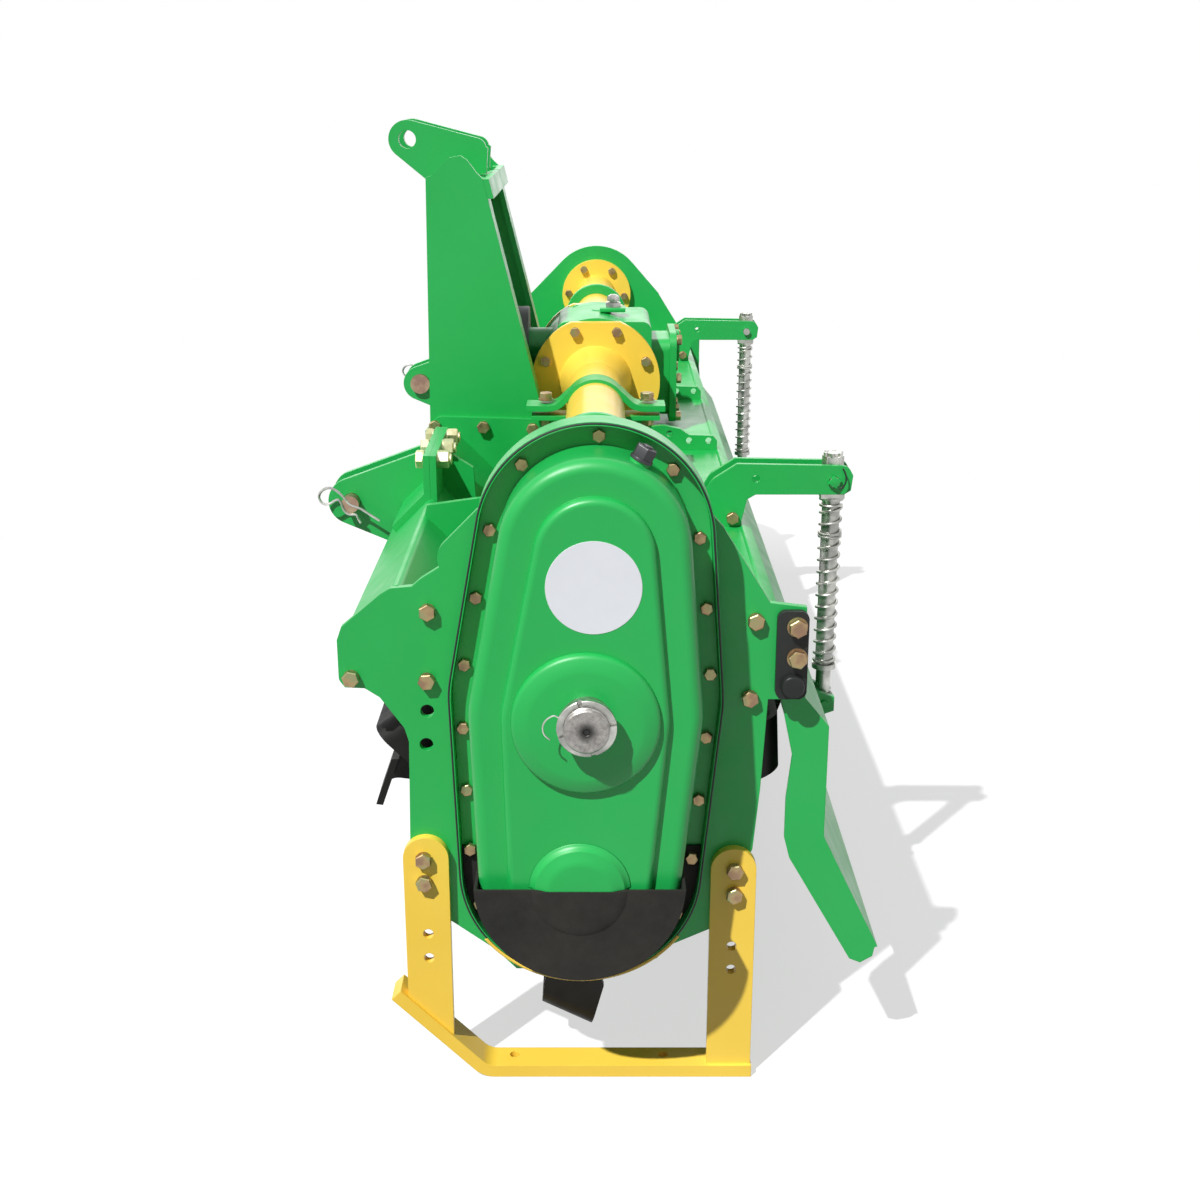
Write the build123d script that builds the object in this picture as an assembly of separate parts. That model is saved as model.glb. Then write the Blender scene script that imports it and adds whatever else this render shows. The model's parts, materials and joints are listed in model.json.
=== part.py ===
"""Tractor-mounted rotary tiller (rotavator) with a side gear case, 1.8 m working width.

Frame: +X to the rear (trailing board), -X to the front (hitch), +Z up with the
ground under the skids at z = 0. The gear case is on the -Y side, here called near.
Inside the script x = 0 lies on the rotor axis and y = 0 half way between the side
plates. export_node() moves everything so that the origin is under the middle of
the whole machine. All lengths are millimetres.
"""
from build123d import *
import math
import os

os.makedirs("parts", exist_ok=True)

# Main driving dimensions
INNER_WIDTH = 1808.0
PLATE_T = 8.0
ROTOR_Z = 275.0
SWING_R = 246.0
IDLER_X = 6.0
IDLER_Z = 455.0
TOP_X = 15.0
TOP_Z = 620.0
DECK_Z = 538.0
SHEET_T = 4.0

PLATE_IN = INNER_WIDTH / 2
PLATE_OUT = PLATE_IN + PLATE_T

# Side gear case, seen from outside: three circles set its outline
CASE_DEPTH = 22.0
CASE_FLANGE_T = 11.0
RIM_WALL_H = 22.0
RIM_WALL_T = 4.0
LIP_FIT = 0.2
CASE_TOP_R = 117.0
CASE_MID_R = 138.0
CASE_LOW_R = 126.0
CASE_LOW_Z = 266.0
COVER_LIP_T = 6.0
COVER_TOP_R = 92.0
COVER_MID_R = 114.0
COVER_LOW_R = 102.0
COVER_LOW_Z = 285.0
COVER_DEPTH = 66.0
PANEL_TOP_R = 58.0
PANEL_MID_R = 82.0
PANEL_LOW_R = 72.0
PANEL_DEPTH = 9.0
IDLER_BOSS_R = 71.0
IDLER_BOSS_H = 8.0
ROTOR_BOSS_R = 47.0
ROTOR_BOSS_H = 5.0
ROTOR_BOSS_Z = 278.0
FILLER_R = 10.0
FILLER_LEAN = 27.0
FILLER_BACK = 31.0
GUARD_T = 3.0
GUARD_TOP_Z = 281.0
GUARD_LIP_TOP_Z = 290.0
AXLE_R = 22.0
AXLE_LENGTH = 50.0
NUT_R = 29.0
NUT_LENGTH = 24.0
NUT_SLOTS = 6

# Rotor
ROTOR_TUBE_R = 38.0
ROTOR_FLANGES = 8
ROTOR_FLANGE_R = 96.0
ROTOR_FLANGE_T = 10.0
ROTOR_END_GAP = 15.0
TINES_PER_FLANGE = 6
TINE_T = 8.0
TINE_WIDTH = 42.0
TINE_REACH = 88.0
TINE_BEND_R = 16.0
TINE_BEND_SLANT = 22.0
TINE_FOOT_R = 52.0
TINE_FIRST = 185.0
HUB_R = 52.0
JOURNAL_R = 22.0
JOURNAL_LENGTH = 22.0
SHAFT_GAP = 0.3

# Cross shaft tubes and centre gearbox
TUBE_R = 39.0
TUBE_FLANGE_R = 94.0
TUBE_FLANGE_FLAT_UP = 87.0
TUBE_FLANGE_FLAT_DOWN = 81.0
TUBE_FLANGE_T = 13.0
END_FLANGE_R = 70.0
END_FLANGE_T = 12.0
GEARBOX_HALF = 92.0
GEARBOX_FRONT_X = -42.0
GEARBOX_REAR_X = 97.0
INPUT_Z = DECK_Z + 119.0
INPUT_BOSS_R = 27.0
INPUT_BOSS_LENGTH = 48.0
GEARBOX_TOP_Z = INPUT_Z + 47.0
GEARBOX_LOW_Z = DECK_Z + 15.0
INPUT_R = 17.5
INPUT_TIP_X = -158.0
SHIELD_R = 59.0
SHIELD_T = 3.0
SHIELD_FRONT_X = -176.0
SHIELD_REAR_X = -86.0

# Front beam: a square tube standing on one edge
BEAM_X = -184.0
BEAM_Z = 504.0
BEAM_SIDE = 84.0
BEAM_CORNER_R = 8.0

# Hood
HOOD_FRONT_X = -96.0
HOOD_FOLD_X = 190.0
SKIRT_LOW_X = 199.0
SKIRT_LOW_Z = 482.0
WEB_Y = 638.0
WEB_T = 8.0

# Mast and top link clevis
MAST_OUT = 194.0
MAST_T = 8.0
CROSS_T = 8.0
CROSS_TOP_Z = 908.0
CROSS_REAR_H = 26.0
MAST_REAR_TOP = (-139.0, 913.0)
MAST_REAR_LOW = (-66.0, 612.0)
EAR_GAP = 56.0
EAR_T = 12.0
TOP_PIN_X = -257.0
TOP_PIN_Z = 960.0
TOP_PIN_R = 12.7
EAR_NOSE_R = 27.0

# Lower link brackets
LINK_Y = 418.0
LINK_GAP = 36.0
LINK_T = 8.0
LINK_PIN_X = -298.0
LINK_PIN_Z = 527.0
LINK_PIN_R = 11.0
LINK_NOSE_R = 30.0
CLAMP_T = 8.0
CLAMP_NEAR_Y = 562.0
CLAMP_FAR_Y = 394.0
CLAMP_TOP_Z = 614.0

# Skids
SKID_BAR = 48.0
SKID_T = 10.0
RAIL_T = 14.0
RAIL_WIDTH = 35.0
RAIL_REAR_X = 186.0
RAIL_BEND_X = -108.0
RAIL_NOSE_X = -205.0
FRONT_ARM_X = -163.0
FRONT_ARM_TOP = 288.0
REAR_ARM_X = 161.0
REAR_ARM_TOP = 275.0
SKID_HOLE_R = 5.5

# Trailing board
HINGE_X = 215.0
HINGE_Z = 458.0
HINGE_PIN_R = 8.0
BOARD_X = 258.0
BOARD_KNEE_Z = 278.0
BOARD_TIP_X = 322.0
BOARD_TIP_Z = 146.0
BOARD_CLEAR = 6.0
BOARD_HALF = PLATE_IN - BOARD_CLEAR
BOARD_END_T = 5.0
LUG_X = 296.0
LUG_Z = 313.0
LUG_T = 8.0
LUG_PIN_R = 5.0
EYE_HOLE_R = 8.5
EYE_R = 14.0

# Spring rods
ARM_Y = 586.0
ARM_GAP = 24.0
ARM_T = 6.0
TRUNNION_Z = 593.0
ROD_R = 9.0
ROD_TOP_Z = 624.0
SPRING_R = 11.8
SPRING_WIRE_R = 2.0
SPRING_SEAT_R = 14.5
TRUNNION_HALF = 14.0
SPRING_TOP_Z = 567.0
SPRING_LOW_Z = 360.0
SPRING_TURNS = 13
PIN_FIT = 0.3

# Middle of the whole machine on the floor
NEAR_END = PLATE_OUT + CASE_DEPTH + COVER_LIP_T + COVER_DEPTH + PANEL_DEPTH + IDLER_BOSS_H + AXLE_LENGTH
FAR_END = PLATE_OUT + 48.0
FRONT_END = LINK_PIN_X - LINK_NOSE_R
REAR_END = BOARD_TIP_X
CENTRE_X = (FRONT_END + REAR_END) / 2
CENTRE_Y = (FAR_END - NEAR_END) / 2


def export_node(shape, name):
    """Write one sub-part with the machine's middle at the origin."""
    export_step(Pos(-CENTRE_X, -CENTRE_Y, 0) * shape, f"parts/{name}.step")


def slab(face, y_from, y_to):
    """Extrude a face drawn in X and Z between two Y values."""
    low = min(y_from, y_to)
    high = max(y_from, y_to)
    placed = Plane(origin=(0, high, 0), x_dir=(1, 0, 0), z_dir=(0, -1, 0)) * face
    return extrude(placed, amount=high - low, dir=(0, -1, 0))


def outline(points, fillets=()):
    """A face through the points, with (corner index, radius) fillets."""
    area = sum(p[0] * q[1] - q[0] * p[1] for p, q in zip(points, points[1:] + points[:1]))
    face = Polygon(*(points if area > 0 else points[::-1]), align=None)
    for index, radius in fillets:
        corner = face.vertices().sort_by_distance((*points[index], 0))[0]
        face = fillet(corner, radius)
    return face


def disc_y(x, z, radius, y_from, y_to):
    """A round bar along Y."""
    return slab(Pos(x, z) * Circle(radius), y_from, y_to)


def bar_x(y, z, radius, x_from, x_to):
    """A round bar along X."""
    plane = Plane(origin=(x_from, y, z), x_dir=(0, 1, 0), z_dir=(1, 0, 0))
    return extrude(plane * Circle(radius), amount=x_to - x_from)


def bar_z(x, y, radius, z_from, z_to):
    """A round bar along Z."""
    return Pos(x, y, z_from) * extrude(Circle(radius), amount=z_to - z_from)


def block(x_from, x_to, y_from, y_to, z_from, z_to):
    """A plain box between two corners."""
    size = (x_to - x_from, y_to - y_from, z_to - z_from)
    middle = ((x_from + x_to) / 2, (y_from + y_to) / 2, (z_from + z_to) / 2)
    return Pos(*middle) * Box(*size)


def far_copy(shape):
    """The same piece on the other side of the machine."""
    return mirror(shape, about=Plane.XZ)


def three_circle_face(top_r, mid_r, low_r, low_z=CASE_LOW_Z):
    """The gear train outline: straight flanks tangent to three circles."""
    circles = Pos(TOP_X, TOP_Z) * Circle(top_r)
    circles += Pos(IDLER_X, IDLER_Z) * Circle(mid_r)
    upper = make_hull((Pos(TOP_X, TOP_Z) * Circle(top_r)).edges() + (Pos(IDLER_X, IDLER_Z) * Circle(mid_r)).edges())
    lower = make_hull((Pos(0, low_z) * Circle(low_r)).edges() + (Pos(IDLER_X, IDLER_Z) * Circle(mid_r)).edges())
    return upper + lower


# Side plates

SIDE_HOLES = ((-157, 427, 7.0), (-159, 390, 7.0))
SIDE_FRONT = (
    (-159, 569), (-168, 561), (-190, 559), (-200, 553), (-241, 518), (-246, 504),
    (-246, 461), (-240, 453), (-220, 452), (-205, 442), (-181, 408), (-177, 393),
    (-180, 269), (-143, 188), (-93, 151), (-70, 127),
)
SIDE_REAR = (
    (55, 127), (82, 140), (92, 154), (137, 175), (181, 270), (187, 340),
    (192, 440), (192, 542), (142, 622),
)


def side_plate_face():
    """Plate outline: a round head on the cross shaft, a nose at the beam, a tapered foot."""
    body = outline(SIDE_FRONT + SIDE_REAR + ((TOP_X, TOP_Z + 60),), ((6, 10), (10, 14), (22, 10)))
    lug = ((-27, -18), (-27, 86), (13, 81), (15, 22), (11, -18))
    body += outline(tuple((HINGE_X + x, HINGE_Z + z) for x, z in lug))
    shoulder = make_hull((Pos(TOP_X, TOP_Z) * Circle(97)).edges() + (Pos(-120, 590) * Circle(22)).edges())
    shoulder += make_hull((Pos(TOP_X, TOP_Z) * Circle(97)).edges() + (Pos(138, 618) * Circle(6)).edges())
    return body + shoulder


def side_plate():
    """Near side plate with its spare holes, open round the rotor hub and the cross shaft."""
    face = side_plate_face() - Pos(0, ROTOR_Z) * Circle(HUB_R + 8) - Pos(TOP_X, TOP_Z) * Circle(46)
    face -= Pos(HINGE_X, HINGE_Z) * Circle(HINGE_PIN_R + PIN_FIT)
    for x, z, radius in SIDE_HOLES:
        face -= Pos(x, z) * Circle(radius)
    return slab(face, -PLATE_OUT, -PLATE_IN)


export_node(side_plate(), "near_side_plate")
export_node(far_copy(side_plate()), "far_side_plate")


# Front beam, webs and hood

def beam_section():
    """Outside of the beam's square section, standing on one edge."""
    square = Rot(0, 0, 45) * Rectangle(BEAM_SIDE, BEAM_SIDE)
    return Pos(BEAM_X, BEAM_Z) * fillet(square.vertices(), BEAM_CORNER_R)


def beam_top(x):
    """Height of the beam's upper faces at x."""
    return BEAM_Z + BEAM_SIDE * math.sqrt(0.5) - abs(x - BEAM_X)


def web():
    """Plate across the machine that ties the beam to the hood."""
    low = DECK_Z
    points = (
        (BEAM_X, BEAM_Z + 50), (BEAM_X + 4, 574), (-123, 582), (-60, 588), (-40, 580), (-30, low),
        (HOOD_FRONT_X, low), (HOOD_FRONT_X - 10, low - 12), (-134, beam_top(-134) - 4),
    )
    return slab(outline(points) - beam_section(), -WEB_Y - WEB_T / 2, -WEB_Y + WEB_T / 2)


def link_flange():
    """Vertical plate on the beam's top edge for the link bracket, with a gusset to the rear."""
    face = outline(
        (
            (BEAM_X, BEAM_Z + 40), (BEAM_X, CLAMP_TOP_Z), (BEAM_X + CLAMP_T, CLAMP_TOP_Z),
            (BEAM_X + CLAMP_T, BEAM_Z + 40),
        )
    )
    gusset = outline(
        (
            (BEAM_X + 4, BEAM_Z + 40), (BEAM_X + 4, 602), (BEAM_X + CLAMP_T + 4, 602), (-138, 580),
            (-134, beam_top(-134) - 4),
        )
    )
    plate = slab(face - beam_section(), -CLAMP_NEAR_Y, -CLAMP_FAR_Y)
    return plate + slab(gusset - beam_section(), -LINK_Y - 62, -LINK_Y - 54)


def beam():
    """Hollow square beam with a flange against each side plate and the two link flanges."""
    bore = Pos(BEAM_X, BEAM_Z) * Rot(0, 0, 45) * Rectangle(BEAM_SIDE - 12, BEAM_SIDE - 12)
    tube = slab(beam_section() - bore, -PLATE_IN, PLATE_IN)
    flange = outline(((-140, 552), (-190, 554), (-236, 516), (-240, 458), (-205, 452), (-140, 468)))
    ends = slab(flange, -PLATE_IN, -PLATE_IN + 8) + slab(flange, PLATE_IN - 8, PLATE_IN)
    one_side = link_flange() + web()
    return tube + ends + one_side + far_copy(one_side)


def hood():
    """Bent sheet over the rotor: a short front lip, the flat deck and the rear skirt."""
    outer = (
        (HOOD_FRONT_X, DECK_Z - 14), (HOOD_FRONT_X, DECK_Z), (HOOD_FOLD_X, DECK_Z),
        (SKIRT_LOW_X, SKIRT_LOW_Z),
    )
    inner = (
        (SKIRT_LOW_X - SHEET_T, SKIRT_LOW_Z - 1), (HOOD_FOLD_X - SHEET_T, DECK_Z - SHEET_T),
        (HOOD_FRONT_X + SHEET_T, DECK_Z - SHEET_T), (HOOD_FRONT_X + SHEET_T, DECK_Z - 14),
    )
    return slab(outline(outer + inner), -PLATE_IN, PLATE_IN)


export_node(beam(), "front_beam")
export_node(hood(), "hood")


# Side gear case

CASE_FACE_Y = -PLATE_OUT - CASE_DEPTH
RIM_FRONT_Y = CASE_FACE_Y - RIM_WALL_H
LIP_FACE_Y = CASE_FACE_Y - COVER_LIP_T
BODY_FACE_Y = LIP_FACE_Y - COVER_DEPTH
PANEL_FACE_Y = BODY_FACE_Y - PANEL_DEPTH
BOSS_FACE_Y = PANEL_FACE_Y - IDLER_BOSS_H


def rim_face(inset):
    """The case rim's outline, moved in all round."""
    return three_circle_face(CASE_TOP_R - inset, CASE_MID_R - inset, CASE_LOW_R - inset)


def case_housing():
    """Cast case on the side plate: flange, thin wall round the cover's lip, rotor bearing boss."""
    shape = slab(rim_face(0), CASE_FACE_Y, CASE_FACE_Y + CASE_FLANGE_T)
    shape += slab(rim_face(0) - rim_face(RIM_WALL_T), RIM_FRONT_Y, CASE_FACE_Y)
    shape += slab(rim_face(16), CASE_FACE_Y + CASE_FLANGE_T, -PLATE_OUT)
    shape += disc_y(0, ROTOR_Z, HUB_R + 6, -PLATE_OUT, -PLATE_IN - 1)
    shape += disc_y(TOP_X, TOP_Z, 44, -PLATE_OUT, -PLATE_IN)
    return shape - disc_y(0, ROTOR_Z, JOURNAL_R + SHAFT_GAP, -PLATE_IN - JOURNAL_LENGTH - 3, -PLATE_IN)


def cover_face(outset):
    """The cover body's outline, moved out all round."""
    return three_circle_face(COVER_TOP_R + outset, COVER_MID_R + outset, COVER_LOW_R + outset, COVER_LOW_Z)


def case_cover():
    """Pressed cover: lip, deep body, raised panel, idler boss and the rotor boss below."""
    lip = slab(rim_face(RIM_WALL_T + LIP_FIT), LIP_FACE_Y, CASE_FACE_Y)
    body = slab(cover_face(0), BODY_FACE_Y, LIP_FACE_Y)
    body = fillet(body.faces().sort_by(Axis.Y)[0].edges(), 12)
    panel = slab(three_circle_face(PANEL_TOP_R, PANEL_MID_R, PANEL_LOW_R, COVER_LOW_Z), PANEL_FACE_Y, BODY_FACE_Y)
    panel = fillet(panel.faces().sort_by(Axis.Y)[0].edges(), 7)
    boss = disc_y(IDLER_X, IDLER_Z, IDLER_BOSS_R, BOSS_FACE_Y, PANEL_FACE_Y)
    boss = fillet(boss.faces().sort_by(Axis.Y)[0].edges(), 6)
    low_boss = disc_y(0, ROTOR_BOSS_Z, ROTOR_BOSS_R, PANEL_FACE_Y - ROTOR_BOSS_H, PANEL_FACE_Y)
    low_boss = fillet(low_boss.faces().sort_by(Axis.Y)[0].edges(), 4)
    neck = Pos(TOP_X, BODY_FACE_Y + FILLER_BACK, TOP_Z) * Rot(0, FILLER_LEAN, 0)
    neck *= bar_z(0, 0, FILLER_R, COVER_TOP_R - 20, COVER_TOP_R + 5)
    return lip + body + panel + boss + low_boss + neck


def case_guard():
    """Wear shoe wrapped over the bottom of the cover, with a strip over the lip."""
    reach = 2 * CASE_MID_R
    shoe = slab(cover_face(GUARD_T), PANEL_FACE_Y - ROTOR_BOSS_H - GUARD_T, LIP_FACE_Y - LIP_FIT)
    shoe &= block(-reach, reach, -2 * PLATE_OUT, 0, 0, GUARD_TOP_Z)
    strip = slab(rim_face(RIM_WALL_T + 2 * LIP_FIT), LIP_FACE_Y - GUARD_T, LIP_FACE_Y - LIP_FIT)
    strip &= block(-reach, reach, -2 * PLATE_OUT, 0, 0, GUARD_LIP_TOP_Z)
    room = slab(cover_face(LIP_FIT), PANEL_FACE_Y - ROTOR_BOSS_H - LIP_FIT, LIP_FACE_Y + 1)
    return (shoe + strip) - room


def idler_axle():
    """Idler axle end with its castle nut."""
    stub = disc_y(IDLER_X, IDLER_Z, AXLE_R, BOSS_FACE_Y - AXLE_LENGTH, BOSS_FACE_Y)
    stub = chamfer(stub.faces().sort_by(Axis.Y)[0].edges(), 3)
    washer = disc_y(IDLER_X, IDLER_Z, NUT_R + 5, BOSS_FACE_Y - 5, BOSS_FACE_Y)
    nut = disc_y(IDLER_X, IDLER_Z, NUT_R, BOSS_FACE_Y - 5 - NUT_LENGTH, BOSS_FACE_Y - 5)
    crown = disc_y(IDLER_X, IDLER_Z, NUT_R - 2, BOSS_FACE_Y - 13 - NUT_LENGTH, BOSS_FACE_Y - 5 - NUT_LENGTH)
    for turn in range(NUT_SLOTS // 2):
        slot = Rot(0, 0, turn * 360 / NUT_SLOTS) * Rectangle(2 * NUT_R + 4, 6)
        crown -= slab(Pos(IDLER_X, IDLER_Z) * slot, BOSS_FACE_Y - 14 - NUT_LENGTH, BOSS_FACE_Y - 6 - NUT_LENGTH)
    return stub + washer + nut + crown


export_node(case_housing(), "gearcase_housing")
export_node(case_cover(), "gearcase_cover")
export_node(case_guard(), "gearcase_guard")
export_node(idler_axle(), "idler_axle")


# Cross shaft tubes

def flange_face(radius):
    """Round gearbox flange with a flat above and a flat over the hood."""
    face = Pos(TOP_X, TOP_Z) * Circle(radius)
    middle = TOP_Z + (TUBE_FLANGE_FLAT_UP - TUBE_FLANGE_FLAT_DOWN) / 2
    return face & Pos(TOP_X, middle) * Rectangle(3 * radius, TUBE_FLANGE_FLAT_UP + TUBE_FLANGE_FLAT_DOWN)


def cross_tube():
    """Yellow tube from the gearbox to the side: neck, gearbox flange with a flat top, end flange."""
    start = GEARBOX_HALF
    end = PLATE_IN
    tube = disc_y(TOP_X, TOP_Z, TUBE_R, -end, -start)
    flange = slab(flange_face(TUBE_FLANGE_R), -start - TUBE_FLANGE_T, -start)
    cone_plane = Plane(origin=(TOP_X, -start - TUBE_FLANGE_T, TOP_Z), x_dir=(1, 0, 0), z_dir=(0, -1, 0))
    neck = loft([cone_plane * Circle(TUBE_R + 14), cone_plane.offset(60) * Circle(TUBE_R)])
    end_flange = disc_y(TOP_X, TOP_Z, END_FLANGE_R, -end, -end + END_FLANGE_T)
    return tube + flange + neck + end_flange


export_node(cross_tube(), "near_cross_tube")
export_node(far_copy(cross_tube()), "far_cross_tube")


# Centre gearbox

def gearbox():
    """Cast bevel gearbox standing over the hood between the two tubes."""
    face = outline(
        (
            (GEARBOX_FRONT_X, GEARBOX_TOP_Z), (GEARBOX_REAR_X, GEARBOX_TOP_Z),
            (GEARBOX_REAR_X, GEARBOX_LOW_Z + 20), (60, GEARBOX_LOW_Z), (-20, GEARBOX_LOW_Z),
            (GEARBOX_FRONT_X, GEARBOX_LOW_Z + 30),
        ),
        ((0, 14), (1, 14)),
    )
    shape = slab(face, -GEARBOX_HALF + 12, GEARBOX_HALF - 12)
    for side in (-1, 1):
        shape += slab(flange_face(TUBE_FLANGE_R - 2), side * GEARBOX_HALF, side * (GEARBOX_HALF - 12))
    shape += bar_x(0, INPUT_Z, INPUT_BOSS_R, GEARBOX_FRONT_X - INPUT_BOSS_LENGTH, GEARBOX_FRONT_X)
    shape += bar_z(24, 0, 15, GEARBOX_TOP_Z, GEARBOX_TOP_Z + 8)
    shape += block(-10, 66, -52, 52, DECK_Z, GEARBOX_LOW_Z)
    bore = bar_x(0, INPUT_Z, INPUT_R + 1.5 + SHAFT_GAP, GEARBOX_FRONT_X - INPUT_BOSS_LENGTH, GEARBOX_FRONT_X + 30)
    return shape - bore


def gearbox_rear_cover():
    """Round bearing boss and the flat rear cover plate of the speed-change gears."""
    plate = Plane(origin=(GEARBOX_REAR_X + 28, 0, 0), x_dir=(0, 1, 0), z_dir=(1, 0, 0))
    face = Pos(0, (GEARBOX_LOW_Z + GEARBOX_TOP_Z) / 2 - 12) * RectangleRounded(128, 134, 20)
    cover = extrude(plate * face, amount=10)
    wall = extrude(plate * (Pos(0, (GEARBOX_LOW_Z + GEARBOX_TOP_Z) / 2 - 12) * RectangleRounded(108, 114, 16)), amount=-28)
    cap = bar_x(0, INPUT_Z, 24, GEARBOX_REAR_X + 38, GEARBOX_REAR_X + 44)
    return cover + wall + cap


def pto_shield():
    """Round shield over the input shaft, open at the front."""
    face = Circle(SHIELD_R) - Circle(SHIELD_R - SHIELD_T)
    plane = Plane(origin=(SHIELD_FRONT_X, 0, INPUT_Z), x_dir=(0, 1, 0), z_dir=(1, 0, 0))
    length = SHIELD_REAR_X - SHIELD_FRONT_X
    tube = extrude(plane * face, amount=length)
    ring = extrude(plane.offset(length - 5) * (Circle(SHIELD_R - 1) - Circle(INPUT_BOSS_R + 0.2)), amount=5)
    return tube + ring


def input_shaft():
    """Splined power take-off stub."""
    spline = Circle(INPUT_R)
    for turn in range(6):
        spline -= Rot(0, 0, turn * 60) * Pos(INPUT_R, 0) * Rectangle(5.5, 8.5)
    plane = Plane(origin=(INPUT_TIP_X, 0, INPUT_Z), x_dir=(0, 1, 0), z_dir=(1, 0, 0))
    root = GEARBOX_FRONT_X - INPUT_BOSS_LENGTH + 18
    stub = extrude(plane * spline, amount=root - 12 - INPUT_TIP_X)
    return stub + bar_x(0, INPUT_Z, INPUT_R + 1.5, root - 12, GEARBOX_FRONT_X + 28)


export_node(gearbox(), "gearbox")
export_node(gearbox_rear_cover(), "gearbox_rear_cover")
export_node(pto_shield(), "pto_shield")
export_node(input_shaft(), "input_shaft")


# Tube straps and their saddles on the hood

STRAP_Y = 305.0
STRAP_WIDTH = 42.0
STRAP_T = 6.0
FOOT_REACH = 86.0
FOOT_Z = TOP_Z + 6.0


def strap():
    """Bent strap over the tube with two bolting feet."""
    inner = TUBE_R + 0.3
    arch = Circle(inner + STRAP_T) - Circle(inner)
    arch &= Pos(0, 100 + FOOT_Z - TOP_Z) * Rectangle(300, 200)
    feet = Pos(0, FOOT_Z - TOP_Z + STRAP_T / 2) * Rectangle(2 * FOOT_REACH, STRAP_T)
    feet -= Circle(inner + 1)
    return slab(Pos(TOP_X, TOP_Z) * (arch + feet), -STRAP_Y - STRAP_WIDTH / 2, -STRAP_Y + STRAP_WIDTH / 2)


def saddle():
    """Half-round seat under the tube: two feet, a cradle and a web plate down to the hood."""
    inner = TUBE_R + 0.3
    low_foot = Pos(0, FOOT_Z - TOP_Z - 15) * Rectangle(2 * FOOT_REACH, STRAP_T)
    cradle = Circle(inner + STRAP_T)
    cradle &= Pos(0, -100 + FOOT_Z - TOP_Z - 12) * Rectangle(300, 200)
    top = slab(Pos(TOP_X, TOP_Z) * (low_foot + cradle - Circle(inner)), -STRAP_Y - 21, -STRAP_Y + 21)
    web_points = (
        (TOP_X - 62, DECK_Z), (TOP_X + 62, DECK_Z), (TOP_X + 78, TOP_Z - 12), (TOP_X - 78, TOP_Z - 12),
    )
    web_face = outline(web_points) - Pos(TOP_X, TOP_Z) * Circle(inner)
    return top + slab(web_face, -STRAP_Y - 5, -STRAP_Y + 5)


export_node(strap(), "near_strap")
export_node(far_copy(strap()), "far_strap")
export_node(saddle(), "near_saddle")
export_node(far_copy(saddle()), "far_saddle")


# Cross plates and mast

def cross_plate():
    """Plate across the hood that carries the mast plate on three bolts."""
    points = (
        (-228, 524), (-228, 566), (-209, 587), (-73, 583), (-54, 572), (60, 569), (112, 574), (135, 569),
        (148, 560), (182, 559), (188, 552), (188, DECK_Z), (HOOD_FRONT_X, DECK_Z),
        (HOOD_FRONT_X - 8, DECK_Z - 10), (-128, beam_top(-128)), (BEAM_X, beam_top(BEAM_X)),
    )
    face = outline(points, ((2, 10), (3, 8)))
    for x, z in ((120, 562), (148, 552), (176, 552)):
        face -= Pos(x, z) * Circle(4.5)
    return slab(face, -MAST_OUT, -MAST_OUT + CROSS_T)


def mast_plate():
    """Tall tapered plate with a folded rear edge."""
    rear = (MAST_REAR_TOP, MAST_REAR_LOW, (MAST_REAR_LOW[0], DECK_Z + 10))
    points = (
        (-222, beam_top(-222)), (-217, 915), (-209, 918), (-185, 941), (-169, 944), (-160, 938), (-148, 922),
    ) + rear + ((-104, DECK_Z + 10), (-128, beam_top(-128)), (BEAM_X, beam_top(BEAM_X)))
    low = -MAST_OUT + CROSS_T
    plate = slab(outline(points), low, low + MAST_T)
    fold = (
        MAST_REAR_TOP, MAST_REAR_LOW, (MAST_REAR_LOW[0] - MAST_T, MAST_REAR_LOW[1]),
        (MAST_REAR_TOP[0] - MAST_T, MAST_REAR_TOP[1]),
    )
    return plate + slab(outline(fold), low, low + 46)


def mast_rear_x(z, out=0.0):
    """Rear edge of the mast at a height, moved out square to the edge."""
    slope = (MAST_REAR_LOW[0] - MAST_REAR_TOP[0]) / (MAST_REAR_TOP[1] - MAST_REAR_LOW[1])
    return MAST_REAR_TOP[0] + (MAST_REAR_TOP[1] - z) * slope + out * math.hypot(1, slope)


def mast_crosspiece():
    """Channel under the top link ears: rear plate on the folds, top plate and front plate."""
    half = MAST_OUT - CROSS_T
    room = half - MAST_T - 0.1
    high = MAST_REAR_TOP[1]
    low = high - CROSS_REAR_H
    rear = (
        (mast_rear_x(high, 0.1), high), (mast_rear_x(low, 0.1), low), (mast_rear_x(low, 8), low),
        (mast_rear_x(high, 8), high),
    )
    top_z = CROSS_TOP_Z - 8
    top = block(-213, -152, -room, room, top_z, top_z + 8)
    top += block(-160, mast_rear_x(top_z, 4), -room + 40, room - 40, top_z, top_z + 8)
    front = block(-213, -205, -room, room, top_z - 70, CROSS_TOP_Z)
    return slab(outline(rear), -half, half) + top + front


def top_ear():
    """One ear of the top link clevis."""
    nose = Pos(TOP_PIN_X, TOP_PIN_Z) * Circle(EAR_NOSE_R)
    arm = make_hull(nose.edges() + (Pos(-158, 948) * Circle(14)).edges() + (Pos(-222, 912) * Circle(12)).edges())
    root = outline(((-236, 912), (-144, 912), (-141, 948), (-160, 960), (-240, 960)))
    face = arm + root - Pos(TOP_PIN_X, TOP_PIN_Z) * Circle(TOP_PIN_R)
    ear = slab(face, -EAR_GAP / 2 - EAR_T, -EAR_GAP / 2)
    root_room = block(-230, -100, -EAR_GAP, 0, CROSS_TOP_Z - 58, CROSS_TOP_Z)
    return ear - root_room


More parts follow.
